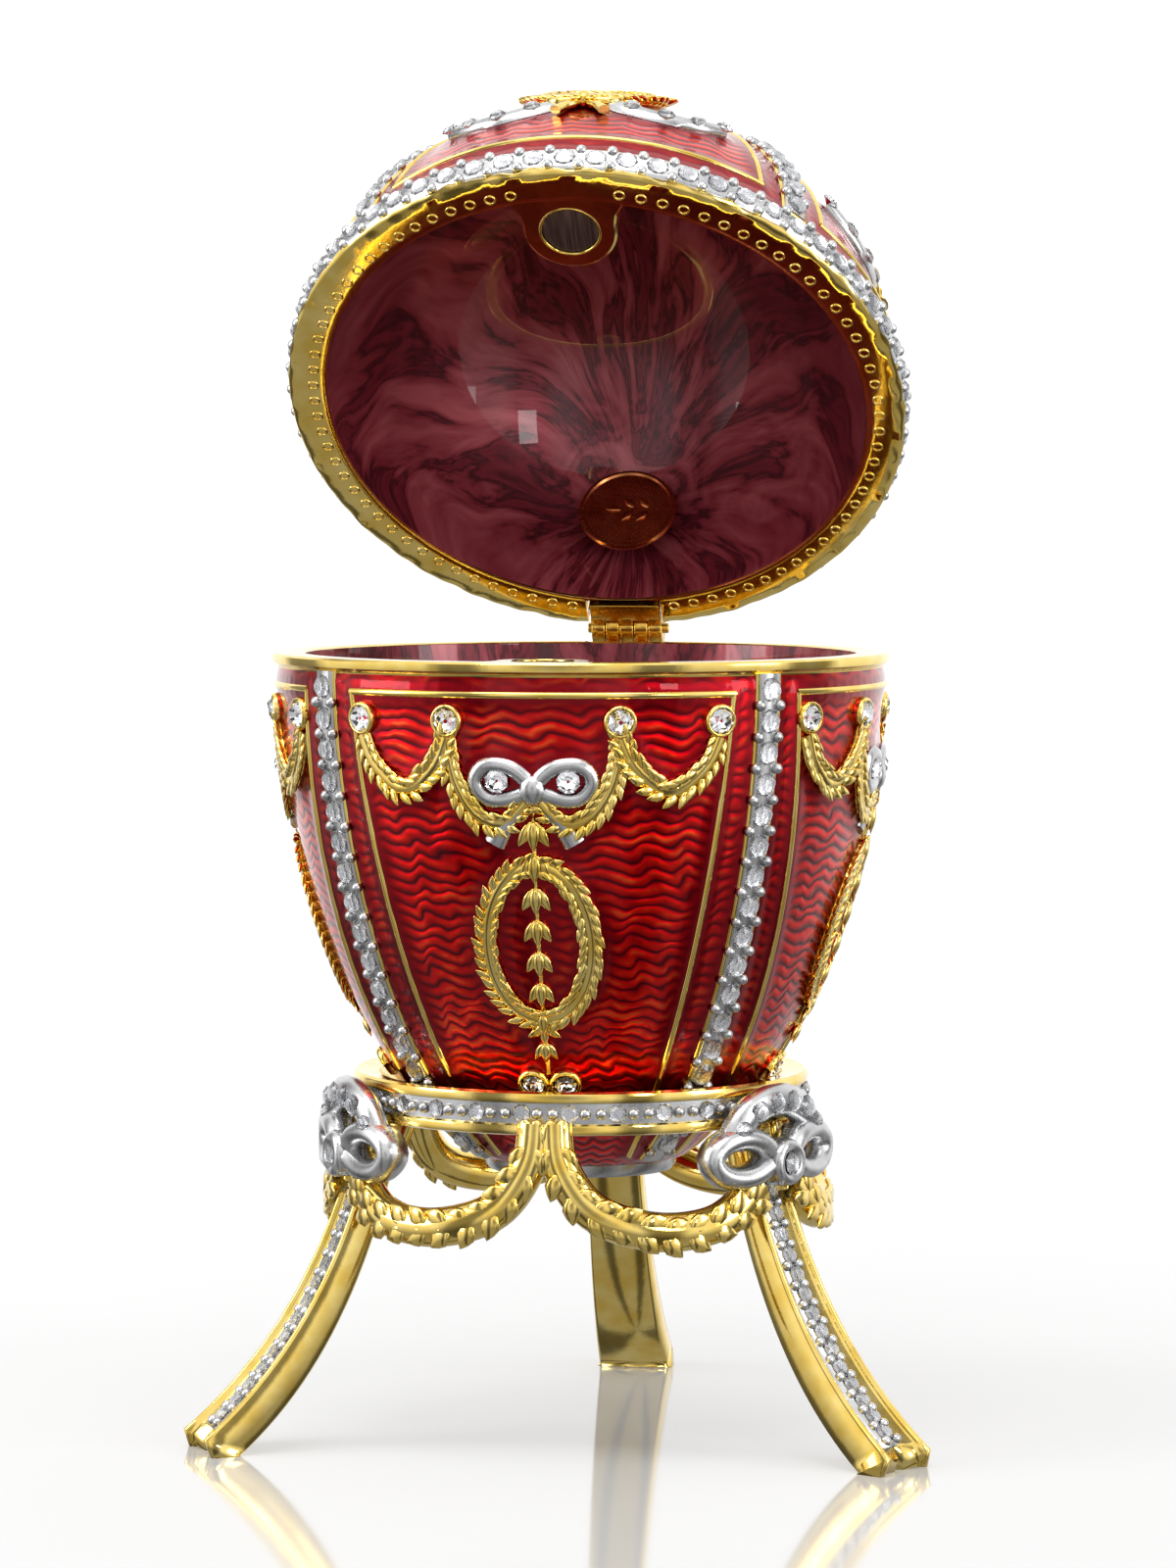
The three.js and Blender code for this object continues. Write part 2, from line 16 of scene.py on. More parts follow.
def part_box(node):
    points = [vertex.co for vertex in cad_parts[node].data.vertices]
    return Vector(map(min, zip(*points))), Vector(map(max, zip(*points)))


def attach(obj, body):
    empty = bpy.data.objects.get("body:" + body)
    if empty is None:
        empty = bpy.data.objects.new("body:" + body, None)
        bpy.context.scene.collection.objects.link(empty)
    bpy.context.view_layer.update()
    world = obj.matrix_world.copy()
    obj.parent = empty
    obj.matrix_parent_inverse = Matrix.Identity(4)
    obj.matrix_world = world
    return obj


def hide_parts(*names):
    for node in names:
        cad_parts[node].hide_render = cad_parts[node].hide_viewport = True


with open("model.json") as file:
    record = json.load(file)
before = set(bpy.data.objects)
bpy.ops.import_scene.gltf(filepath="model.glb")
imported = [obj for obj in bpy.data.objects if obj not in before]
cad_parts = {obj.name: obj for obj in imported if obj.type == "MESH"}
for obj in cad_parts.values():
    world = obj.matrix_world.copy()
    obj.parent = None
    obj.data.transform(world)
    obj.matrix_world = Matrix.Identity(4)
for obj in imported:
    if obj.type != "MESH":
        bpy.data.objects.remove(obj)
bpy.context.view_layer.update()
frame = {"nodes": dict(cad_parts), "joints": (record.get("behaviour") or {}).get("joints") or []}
print("CAD nodes:", len(frame["nodes"]))

# %% [markdown]
# ## Sizes
# A jeweller works in millimetres, so every piece below is modelled in millimetres about the egg's
# own axis, with the floor at height 0 and the front at -Y. The few sizes that tie the pieces
# together are read back from the CAD, so they can't drift from it.

# %% Sizes read from the frame
MM = 0.001
bowl_low, bowl_high = (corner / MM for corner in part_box("bowl"))
RIM_RADIUS = bowl_high.x
RIM_HEIGHT = bowl_high.z
BASE_HEIGHT = bowl_low.z
AXIS_Y = bowl_low.y + RIM_RADIUS
hinge = next(joint for joint in frame["joints"] if joint["name"] == "lid_hinge")
PIN_BACK = hinge["pos_m"][1] / MM - AXIS_Y
PIN_HEIGHT = hinge["pos_m"][2] / MM
OPEN_ANGLE = math.radians(-hinge["range_deg"][0])
print(f"rim {2 * RIM_RADIUS:.1f} mm across and {RIM_HEIGHT:.1f} mm up")
print(f"lid open {math.degrees(OPEN_ANGLE):.1f} degrees")

# %% [markdown]
# A finished piece is laid in the frame in one move: it shrinks from millimetres to metres and
# shifts to the egg's axis. Pieces of the lid are modelled shut, which keeps them simple, and are
# turned open about the hinge pin on the way.

# %% Laying a finished piece in the frame
def only(piece):
    """Deselects everything else, because an operator acts on all that is selected."""
    if bpy.context.object and bpy.context.object.mode != "OBJECT":
        bpy.ops.object.mode_set(mode="OBJECT")
    bpy.ops.object.select_all(action="DESELECT")
    piece.select_set(True)
    bpy.context.view_layer.objects.active = piece


def settle(piece, body, slot, *materials):
    """Puts a piece in its place in the frame, gives it its finishes and lets it ride on its body."""
    place = Matrix.Translation((0, AXIS_Y * MM, 0)) @ Matrix.Scale(MM, 4)
    if body == "lid":
        pin = Matrix.Translation((0, PIN_BACK, PIN_HEIGHT))
        place = place @ pin @ Matrix.Rotation(-OPEN_ANGLE, 4, "X") @ pin.inverted()
    only(piece)
    piece.matrix_world = place
    bpy.ops.object.transform_apply(location=True, rotation=True, scale=True)
    if materials:
        piece.data.materials.clear()
        for material in materials:
            piece.data.materials.append(material)
    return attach(piece, body)


# %% [markdown]
# ## The two skins of the egg
# Ornament on an egg is designed flat and then bent round it. So each skin is described by its
# outline, and a flat point (x across, y up the skin, z outwards) is carried to its place on it.
# The rim is y = 0: the lid climbs from there and the bowl drops.

# %% A skin carries flat designs on to a round body
class Skin:
    def __init__(self, outline):
        """outline: (y, radius, height) rows, from low y to high y."""
        self.y, self.radius, self.height = np.array(outline, float).T
        rise, run = np.gradient(self.height, self.y), np.gradient(self.radius, self.y)
        steep = np.hypot(rise, run)
        self.out, self.up = rise / steep, -run / steep

    def at(self, y):
        """Radius, height and the two parts of the outward direction at y."""
        return [np.interp(y, self.y, row) for row in (self.radius, self.height, self.out, self.up)]

    def carry(self, azimuth, points):
        """Bends flat points round the body. Azimuth 0 is the front and 90 is +X."""
        x, y, z = np.array(points, float).reshape(-1, 3).T
        radius, height, out, up = self.at(y)
        angle = math.radians(azimuth) + x / np.maximum(radius, 0.5)
        reach = radius + z * out
        return np.stack([reach * np.sin(angle), -reach * np.cos(angle), height + z * up], axis=1)

    def spot(self, azimuth, x, y, z=0.0, turn=0.0):
        """A place for one small thing: its X runs sideways, its Y up the skin, its Z outwards."""
        step = 0.1
        corners = [(x, y, z), (x + step, y, z), (x, y, z + step)]
        here, right, outside = self.carry(azimuth, corners)
        across = Vector(right - here).normalized()
        normal = Vector(outside - here).normalized()
        upward = normal.cross(across).normalized()
        place = Matrix((across, upward, normal)).transposed().to_4x4()
        return Matrix.Translation(here) @ place @ Matrix.Rotation(turn, 4, "Z")


def upright_skin(radius, height):
    """The skin of a plain upright cylinder, with y = 0 at a height."""
    span = 100
    return Skin([(-span, radius, height - span), (span, radius, height + span)])


def outline_of(radii_and_heights, climbing):
    """Measures y along a chain of (radius, height) points that starts at the rim."""
    chain = np.array(radii_and_heights, float)
    steps = np.hypot(*np.diff(chain, axis=0).T)
    y = np.concatenate([[0], np.cumsum(steps)])
    rows = np.column_stack([y, chain])
    return rows if climbing else (rows * [-1, 1, 1])[::-1]


# %% The outlines of bowl and lid
WALL = 3.4
BOWL_RADIUS = RIM_RADIUS - 0.6
BOWL_DEPTH = RIM_HEIGHT - BASE_HEIGHT
BOWL_REACH = BOWL_DEPTH + 2.3
BOWL_FULLNESS = 1.85
LID_RADIUS = RIM_RADIUS - 0.2
LID_RISE = 31.0
LID_FLOOR = RIM_HEIGHT + 0.2
INNER_RADIUS = RIM_RADIUS - WALL
INNER_RISE = LID_RISE - WALL + 0.6


def bowl_curve(radius, depth, reach, count):
    """(radius, height) points from the rim down. reach is the depth at which the curve would close."""
    drops = depth * np.sin(np.linspace(0, math.pi / 2, count))
    shares = np.maximum(0, 1 - (drops / reach) ** BOWL_FULLNESS)
    return list(zip(radius * np.sqrt(shares), RIM_HEIGHT - drops))


def lid_curve(radius, rise, count):
    """(radius, height) points of half an ellipse, from the rim up."""
    angles = np.linspace(0, math.pi / 2, count)
    return [(radius * math.cos(a), RIM_HEIGHT + rise * math.sin(a)) for a in angles]


bowl_skin = Skin(outline_of(bowl_curve(BOWL_RADIUS, BOWL_DEPTH, BOWL_REACH, 120), climbing=False))
lid_skin = Skin(outline_of(lid_curve(LID_RADIUS, LID_RISE, 90), climbing=True))
print(f"from the rim {-bowl_skin.y[0]:.1f} mm down the bowl and {lid_skin.y[-1]:.1f} mm up the lid")

# %% [markdown]
# ## Three ways to make a piece
# Round bodies are turned on a lathe: a circle of points is moved to the profile and spun. Long
# things such as wires, ribbons and legs are lofted: a flat grid is rolled through a row of
# sections. Small things that repeat are modelled once and set out at many places.

# %% Turning a profile
def smooth(piece, angle=40):
    only(piece)
    bpy.ops.object.shade_smooth_by_angle(angle=math.radians(angle))
    return piece


def above(base, profile):
    """A profile of (radius, height) points whose heights were given from a base."""
    return [(radius, base + height) for radius, height in profile]


def turn(name, profile, steps=192):
    """Spins a closed profile of (radius, height) points once round the upright axis."""
    bpy.ops.object.select_all(action="DESELECT")
    bpy.ops.mesh.primitive_circle_add(vertices=len(profile), radius=1)
    piece = bpy.context.object
    piece.name = piece.data.name = name
    for vertex, (radius, height) in zip(piece.data.vertices, profile):
        vertex.co = (radius, 0, height)
    bpy.ops.object.mode_set(mode="EDIT")
    bpy.ops.mesh.select_all(action="SELECT")
    bpy.ops.mesh.spin(steps=steps, angle=2 * math.pi, center=(0, 0, 0), axis=(0, 0, 1))
    bpy.ops.mesh.select_all(action="SELECT")
    bpy.ops.mesh.remove_doubles(threshold=1e-4)
    bpy.ops.mesh.dissolve_degenerate(threshold=1e-5)
    bpy.ops.mesh.select_all(action="SELECT")
    bpy.ops.mesh.normals_make_consistent(inside=False)
    bpy.ops.object.mode_set(mode="OBJECT")
    return smooth(piece)


# %% Lofting through sections
def loft(name, sections, ring=False):
    """Rolls a grid through rows of points. Each section is closed. A ring also joins end to end."""
    rows, columns = len(sections), len(sections[0])
    spans = rows if ring else rows - 1
    bpy.ops.object.select_all(action="DESELECT")
    bpy.ops.mesh.primitive_grid_add(x_subdivisions=columns, y_subdivisions=spans, size=2)
    piece = bpy.context.object
    piece.name = piece.data.name = name
    flat = np.empty(len(piece.data.vertices) * 3)
    piece.data.vertices.foreach_get("co", flat)
    flat = flat.reshape(-1, 3)
    column = np.rint((flat[:, 0] + 1) / 2 * columns).astype(int) % columns
    row = np.rint((flat[:, 1] + 1) / 2 * spans).astype(int) % rows
    piece.data.vertices.foreach_set("co", np.array(sections, float)[row, column].ravel())
    bpy.ops.object.mode_set(mode="EDIT")
    bpy.ops.mesh.select_all(action="SELECT")
    bpy.ops.mesh.remove_doubles(threshold=1e-4)
    if not ring:
        bpy.ops.mesh.select_all(action="SELECT")
        bpy.ops.mesh.fill_holes(sides=0)
    bpy.ops.mesh.select_all(action="SELECT")
    bpy.ops.mesh.normals_make_consistent(inside=False)
    bpy.ops.object.mode_set(mode="OBJECT")
    return smooth(piece, 55)


# %% Setting out copies, joining and cutting
def set_out(name, model, places):
    """Copies a small model, with its finishes, to every place and joins the copies into one piece."""
    corners = np.array([vertex.co[:] + (1,) for vertex in model.data.vertices])
    points = np.concatenate([corners @ np.array(place).T for place in places])[:, :3]
    faces = []
    for n in range(len(places)):
        faces += [tuple(i + n * len(corners) for i in face.vertices) for face in model.data.polygons]
    mesh = bpy.data.meshes.new(name)
    mesh.from_pydata(points, [], faces)
    for material in model.data.materials:
        mesh.materials.append(material)
    for trait in ("material_index", "use_smooth"):
        mesh.polygons.foreach_set(trait, [getattr(face, trait) for face in model.data.polygons] * len(places))
    piece = bpy.data.objects.new(name, mesh)
    bpy.context.collection.objects.link(piece)
    return piece


def combine(name, pieces):
    """Joins several pieces into one."""
    only(pieces[0])
    for piece in pieces:
        piece.select_set(True)
    bpy.ops.object.join()
    pieces[0].name = pieces[0].data.name = name
    return pieces[0]


def cut_away(piece, cutter, solver="EXACT"):
    """Takes the cutter's shape out of a piece. The cut leaves no material slots behind."""
    only(piece)
    cut = piece.modifiers.new("cut", "BOOLEAN")
    cut.operation, cut.object, cut.solver = "DIFFERENCE", cutter, solver
    bpy.ops.object.modifier_apply(modifier=cut.name)
    bpy.data.objects.remove(cutter)
    piece.data.materials.clear()
    return piece


# %% Wires and ribbons that follow a flat path
def circle(count):
    return [(math.cos(a), math.sin(a)) for a in np.linspace(0, 2 * math.pi, count, endpoint=False)]


WIRE_SECTION = circle(8)
PUFFED_SECTION = circle(14)


def flow(points, pitch, closed=False):
    """A smooth path through given points: places about a pitch apart, and the way each faces."""
    knots = np.array([tuple(point) + (0,) * (3 - len(point)) for point in points], float)
    count = len(knots)
    fine = []
    for i in range(count if closed else count - 1):
        near = [(i + k) % count if closed else min(max(i + k, 0), count - 1) for k in (-1, 0, 1, 2)]
        a, b, c, d = knots[near]
        for t in np.linspace(0, 1, 16, endpoint=False):
            bow = (2 * a - 5 * b + 4 * c - d) * t**2 + (3 * b - 3 * c + d - a) * t**3
            fine.append(b + 0.5 * ((c - a) * t + bow))
    fine.append(knots[0] if closed else knots[-1])
    fine = np.array(fine)
    travel = np.concatenate([[0], np.cumsum(np.linalg.norm(np.diff(fine, axis=0), axis=1))])
    stops = max(3, round(travel[-1] / pitch))
    marks = np.linspace(0, travel[-1], stops + 1)[: stops if closed else stops + 1]
    places = np.column_stack([np.interp(marks, travel, fine[:, k]) for k in range(3)])
    ahead = np.roll(places, -1, axis=0) - np.roll(places, 1, axis=0)
    if not closed:
        ahead[0], ahead[-1] = places[1] - places[0], places[-1] - places[-2]
    return places, ahead / np.linalg.norm(ahead, axis=1)[:, None]


def bend(name, skin, azimuth, path, width, height, lift=0.0, section=WIRE_SECTION, ring=False):
    """Lofts a section along a flat path that the skin carries round the body. The path is what flow
    gives. width may be a function of 0 to 1 along it."""
    rows = []
    for along, (place, way) in zip(np.linspace(0, 1, len(path[0])), zip(*path)):
        wide = width(along) if callable(width) else width
        side = np.array([way[1], -way[0], 0])
        middle = place + [0, 0, lift]
        rows.append([middle + side * u * wide / 2 + np.array([0, 0, v * height / 2]) for u, v in section])
    return loft(name, [skin.carry(azimuth, row) for row in rows], ring)




# %% [markdown]
# ## Finishes
# Every finish below is a real trade: plated gold and silver, foil-backed stones, and enamel, which
# is coloured glass melted over metal. Colours are written as the hex values a designer would note
# down, and one function turns them to the linear light that the shader wants.

# %% Colour and node helpers
def linear(hex_colour):
    parts = [int(hex_colour[i : i + 2], 16) / 255 for i in (1, 3, 5)]
    return [c / 12.92 if c <= 0.04045 else ((c + 0.055) / 1.055) ** 2.4 for c in parts] + [1.0]


def add_node(owner, kind, sockets=None, out=0, stops=(), **traits):
    """Adds one node and returns the output asked for. Each socket gets a plain value or another
    node's output. stops are the (position, hex colour) stops of a colour ramp."""
    node = owner.node_tree.nodes.new("ShaderNode" + kind)
    for trait, value in traits.items():
        setattr(node, trait, value)
    for socket, value in (sockets or {}).items():
        if isinstance(value, bpy.types.NodeSocket):
            owner.node_tree.links.new(value, node.inputs[socket])
        else:
            node.inputs[socket].default_value = value
    for n, (position, colour) in enumerate(stops):
        if n >= len(node.color_ramp.elements):
            node.color_ramp.elements.new(1.0)
        node.color_ramp.elements[n].position = position
        node.color_ramp.elements[n].color = linear(colour)
    return node.outputs[out]


def new_material(name, **sockets):
    """A material with plain values on the sockets of its shader."""
    material = bpy.data.materials.new(name)
    material.use_nodes = True
    for socket, value in sockets.items():
        material.node_tree.nodes["Principled BSDF"].inputs[socket.replace("_", " ")].default_value = value
    return material


def cover(material, colour, roughness, relief):
    """Gives the shader its three patterns."""
    shader = material.node_tree.nodes["Principled BSDF"]
    for socket, pattern in (("Base Color", colour), ("Roughness", roughness), ("Normal", relief)):
        material.node_tree.links.new(pattern, shader.inputs[socket])
    return material


# %% [markdown]
# Gold and silver plate are thin metal over a polished casting. The metal itself is even in colour;
# what the eye reads is the polish. A casting keeps faint waves a few millimetres long, so its
# reflections wander, and tiny pits dull it here and there.

# %% Plated metals
CAST_WAVE, CAST_PIT, PIT_DEPTH = 3.0, 0.25, 0.02


def plated_metal(name, deep, bright, roughness, wave_depth):
    metal = new_material(name, Metallic=1.0)
    place = add_node(metal, "TexCoord", out="Object")
    waves = add_node(metal, "TexNoise", {"Vector": place, "Scale": 1 / (CAST_WAVE * MM), "Detail": 2.0})
    pits = add_node(metal, "TexNoise", {"Vector": place, "Scale": 1 / (CAST_PIT * MM), "Detail": 3.0})
    colour = add_node(metal, "ValToRGB", {"Fac": waves}, stops=((0.3, deep), (0.7, bright)))
    polish = add_node(metal, "MapRange", {
        "Value": pits, "To Min": roughness * 0.6, "To Max": roughness * 1.5})
    fine = add_node(metal, "Bump", {"Height": pits, "Strength": 0.15, "Distance": PIT_DEPTH * MM})
    relief = add_node(metal, "Bump", {
        "Height": waves, "Normal": fine, "Strength": 0.6, "Distance": wave_depth * MM})
    return cover(metal, colour, polish, relief)


gold_plate = plated_metal("gold_plate", "#EAC45A", "#F9DE88", 0.1, 0.04)
silver_plate = plated_metal("satin_silver_plate", "#B2B2B4", "#D6D6D6", 0.26, 0.03)
hinge_gold = plated_metal("hinge_gold", "#C9962F", "#E8BC5A", 0.24, 0.03)
copper_gold = plated_metal("copper_gold_plate", "#B8693C", "#E29A64", 0.24, 0.03)
foil = plated_metal("stone_foil", "#E6E6E8", "#FAFAFA", 0.07, 0.0)
print("metals:", gold_plate.name, silver_plate.name, hinge_gold.name, copper_gold.name, foil.name)

# %% [markdown]
# The outer enamel is clear red glass over metal that was chased with wavy lines. Light passes the
# glass, strikes the ripples and comes back red. Here that light is painted into the colour: the rows
# are painted brighter on their ridges and dark in the gaps, with painted orange glints and broad
# painted glowing zones over them. The rippled metal is the base of the shader, and the smooth glass
# surface is its coat, whose reflections stay calm. Beside raised metal the glass pools deeper and
# looks nearly black. A skin map gives the pattern its place: u runs once round the egg and v is
# millimetres from the rim.

# %% Patches of noise on a skin map
def patches(material, vector, around, tall, detail, **sockets):
    """Soft noise with so many patches once round, each some millimetres tall."""
    placed = add_node(material, "Mapping", {"Vector": vector, "Scale": (around, 1 / tall, 1.0)})
    return add_node(material, "TexNoise", {"Vector": placed, "Scale": 1.0, "Detail": detail, **sockets})


# %% Waved red enamel
WAVE_PITCH, WAVE_SWING, WAVE_DEPTH = 1.2, 0.32, 0.1
WAVES_ROUND = 38
HAND_WANDER, ROW_WANDER = 11.0, 2.2


def waved_enamel(name):
    enamel = new_material(name, Metallic=1.0, Coat_Weight=1.0, Coat_Roughness=0.02, Coat_IOR=1.25)
    skin_map = add_node(enamel, "UVMap", uv_map="skin")
    turns = add_node(enamel, "SeparateXYZ", {"Vector": skin_map}, out="X")
    drop = add_node(enamel, "SeparateXYZ", {"Vector": skin_map}, out="Y")
    drift = patches(enamel, skin_map, 30.0, 6.25, 2.0)
    # Two noises that paint light into the colour: small patches of painted glints and broad painted glowing
    # zones.
    painted_glint_patches = patches(enamel, skin_map, 60.0, 2.0, 2.0)
    painted_glow_zones = patches(enamel, skin_map, 11.0, 14.3, 1.0)

    hand = add_node(enamel, "Math", {0: drift, 1: HAND_WANDER}, operation="MULTIPLY")
    phase = add_node(enamel, "Math", {
        0: turns, 1: 2 * math.pi * WAVES_ROUND, 2: hand}, operation="MULTIPLY_ADD")
    swing = add_node(enamel, "Math", {0: phase}, operation="SINE")
    swung = add_node(enamel, "Math", {0: swing, 1: WAVE_SWING, 2: drop}, operation="MULTIPLY_ADD")
    row = add_node(enamel, "Math", {0: drift, 1: ROW_WANDER, 2: swung}, operation="MULTIPLY_ADD")
    rows = add_node(enamel, "Math", {0: row, 1: 2 * math.pi / WAVE_PITCH}, operation="MULTIPLY")
    ripple = add_node(enamel, "Math", {0: rows}, operation="SINE")
    ridge = add_node(enamel, "Math", {0: ripple, 1: 0.5, 2: 0.5}, operation="MULTIPLY_ADD")
    broad = add_node(enamel, "Math", {0: ridge, 1: 0.6}, operation="POWER")

    # Painted light on the ripple rows: they are brighter where the painted glint patches and the broad
    # painted glow zones fall.
    lift = add_node(enamel, "Math", {0: painted_glint_patches, 1: 1.15, 2: 0.12}, operation="MULTIPLY_ADD")
    painted_glow_zone_gain = add_node(enamel, "MapRange", {"Value": painted_glow_zones, "To Min": 0.45, "To Max": 1.55})
    ripples_with_painted_glints = add_node(enamel, "Math", {0: broad, 1: lift}, operation="MULTIPLY")
    lit = add_node(enamel, "Math", {0: ripples_with_painted_glints, 1: painted_glow_zone_gain}, operation="MULTIPLY")
    # The ramp runs from the dark lines between the rows up to painted glints, which are orange where the
    # painted light is strongest.
    glass = add_node(enamel, "ValToRGB", {"Fac": lit}, stops=(
        (0.05, "#58000E"), (0.28, "#A8000A"), (0.5, "#E00808"), (0.68, "#F21E0A"), (0.84, "#FF5020")))
    pool = add_node(enamel, "Attribute", out="Fac", attribute_name="pool")
    tint = add_node(enamel, "Mix", {0: pool, 6: glass, 7: linear("#8C0012")}, out=2, data_type="RGBA")

    polish = add_node(enamel, "MapRange", {"Value": painted_glint_patches, "To Min": 0.25, "To Max": 0.42})
    open_glass = add_node(enamel, "Math", {0: 1.0, 1: pool}, operation="SUBTRACT")
    calm = add_node(enamel, "Math", {0: broad, 1: open_glass}, operation="MULTIPLY")
    relief = add_node(enamel, "Bump", {"Height": calm, "Strength": 1.0, "Distance": WAVE_DEPTH * MM})
    return cover(enamel, tint, polish, relief)


red_enamel = waved_enamel("waved_red_enamel")
print(f"enamel waves {2 * math.pi * BOWL_RADIUS / WAVES_ROUND:.1f} mm long and {WAVE_PITCH} mm apart")

# %% [markdown]
# The lining is opaque pearl enamel. It was dragged while wet, so its mica streaks fan out from a
# pole near the hinge with a few folds, dark plum against dusty rose, all under one glassy coat. At
# the pole itself the streaks would meet in a star, so they fade there into a cloud.

# %% Marbled lining enamel
SWIRL, CLOUD = 13.0, 5.0
STAR_NEAR, STAR_FAR = 2.0, 12.0


def marbled_enamel(name):
    pearl = new_material(name, Metallic=0.5, Coat_Weight=1.0, Coat_Roughness=0.01, Coat_IOR=1.32)
    skin_map = add_node(pearl, "UVMap", uv_map="skin")
    place = add_node(pearl, "TexCoord", out="Object")
    swirl = add_node(pearl, "TexNoise", {
        "Vector": place, "Scale": 1 / (SWIRL * MM), "Detail": 1.0}, out="Color")
    folded = add_node(pearl, "VectorMath", {
        0: swirl, 1: (0.05, 5.0, 0.0), 2: skin_map}, operation="MULTIPLY_ADD")
    drag = patches(pearl, folded, 34.0, 16.67, 5.0, Roughness=0.6, Distortion=0.7)
    threads = patches(pearl, folded, 70.0, 12.5, 4.0, Distortion=1.2)
    thin = add_node(pearl, "Math", {0: threads, 1: 0.3}, operation="MULTIPLY")
    combed = add_node(pearl, "Math", {0: drag, 1: 0.75, 2: thin}, operation="MULTIPLY_ADD")
    cloud = add_node(pearl, "TexNoise", {
        "Vector": place, "Scale": 1 / (CLOUD * MM), "Detail": 4.0, "Distortion": 1.5})
    from_pole = add_node(pearl, "SeparateXYZ", {"Vector": skin_map}, out="Y")
    away = add_node(pearl, "MapRange", {"Value": from_pole, "From Min": STAR_NEAR, "From Max": STAR_FAR})
    streak = add_node(pearl, "Mix", {"Factor": away, "A": cloud, "B": combed})
    colour = add_node(pearl, "ValToRGB", {"Fac": streak}, stops=(
        (0.38, "#4C0A16"), (0.46, "#7E2230"), (0.495, "#440A16"), (0.53, "#8A2C38"), (0.66, "#B2565E")))
    polish = add_node(pearl, "MapRange", {"Value": threads, "To Min": 0.28, "To Max": 0.5})
    relief = add_node(pearl, "Bump", {"Height": streak, "Strength": 0.2, "Distance": 0.05 * MM})
    return cover(pearl, colour, polish, relief)


lining_enamel = marbled_enamel("marbled_lining_enamel")

# %% [markdown]
# The stones are cut crystal with foil on the back. Clear glass alone would look grey on metal; the
# foil under the lower facets is what throws the light back. So the upper facets of each stone
# are glass and its lower ones are foil. The closing magnets are sintered steel, ground flat, which
# leaves fine straight scratches one way.

# %% Crystal and magnet
CRYSTAL_WEAR = 0.4
SCRATCH_WIDE, SCRATCH_LONG = 0.18, 5.0


def cut_crystal(name):
    glass = new_material(name, Transmission_Weight=1.0, IOR=1.62, Base_Color=linear("#FBFCFF"))
    place = add_node(glass, "TexCoord", out="Object")
    wear = add_node(glass, "TexNoise", {"Vector": place, "Scale": 1 / (CRYSTAL_WEAR * MM), "Detail": 2.0})
    polish = add_node(glass, "MapRange", {"Value": wear, "To Min": 0.0, "To Max": 0.03})
    glass.node_tree.links.new(polish, glass.node_tree.nodes["Principled BSDF"].inputs["Roughness"])
    return glass


def ground_magnet(name):
    steel = new_material(name, Metallic=0.9)
    place = add_node(steel, "TexCoord", out="Object")
    long, wide = 1 / (SCRATCH_LONG * MM), 1 / (SCRATCH_WIDE * MM)
    grain = add_node(steel, "Mapping", {
        "Vector": place, "Scale": (wide, long, long), "Rotation": (0.2, 0.5, 0.5)})
    scratches = add_node(steel, "TexNoise", {"Vector": grain, "Scale": 1.0, "Detail": 3.0})
    colour = add_node(steel, "ValToRGB", {"Fac": scratches}, stops=((0.35, "#4A3F44"), (0.65, "#7C6E74")))
    polish = add_node(steel, "MapRange", {"Value": scratches, "To Min": 0.25, "To Max": 0.5})
    relief = add_node(steel, "Bump", {"Height": scratches, "Strength": 0.3, "Distance": 0.02 * MM})
    return cover(steel, colour, polish, relief)


crystal = cut_crystal("cut_crystal")
magnet_steel = ground_magnet("ground_magnet")

# %% [markdown]
# ## Small things that repeat
# One stone, one bead, one setting and one laurel leaf are modelled with care. Hundreds of copies
# follow, so each has only a few dozen faces.

# %% The stone
STONE_RADIUS = 1.22


def make_stone(radius):
    """A round stone: a flat table, a ring of crown facets and foil-backed facets below."""
    bpy.ops.object.select_all(action="DESELECT")
    bpy.ops.mesh.primitive_cylinder_add(
        vertices=8, radius=radius, depth=0.4 * radius, location=(0, 0, 0.2 * radius))
    stone = bpy.context.object
    stone.name = "stone_model"
    for vertex in stone.data.vertices:
        if vertex.co.z > 0:
            shrunk = Vector((0.6 * vertex.co.x, 0.6 * vertex.co.y, vertex.co.z))
            vertex.co = Matrix.Rotation(math.pi / 8, 3, "Z") @ shrunk
    bpy.ops.object.mode_set(mode="EDIT")
    bpy.ops.mesh.select_all(action="DESELECT")
    bpy.ops.mesh.select_mode(type="FACE")
    bpy.ops.object.mode_set(mode="OBJECT")
    for face in stone.data.polygons:
        face.select = face.normal.z < -0.9
    bpy.ops.object.mode_set(mode="EDIT")
    bpy.ops.mesh.extrude_region_move(TRANSFORM_OT_translate={"value": (0, 0, -0.6 * radius)})
    bpy.ops.mesh.merge(type="CENTER")
    bpy.ops.mesh.select_all(action="SELECT")
    bpy.ops.mesh.quads_convert_to_tris(quad_method="BEAUTY")
    bpy.ops.mesh.normals_make_consistent(inside=False)
    bpy.ops.object.mode_set(mode="OBJECT")
    stone.data.transform(stone.matrix_world)
    stone.matrix_world = Matrix.Identity(4)
    for material in (crystal, foil):
        stone.data.materials.append(material)
    for face in stone.data.polygons:
        face.material_index = 1 if face.center.z < -0.05 * radius else 0
    return stone


stone_model = make_stone(STONE_RADIUS)
print("stone:", len(stone_model.data.polygons), "facets")

# %% The bead, the setting and the leaf
BEAD_RADIUS = 0.58
LEAF_LONG, LEAF_WIDE, LEAF_THICK = 2.4, 1.15, 0.7


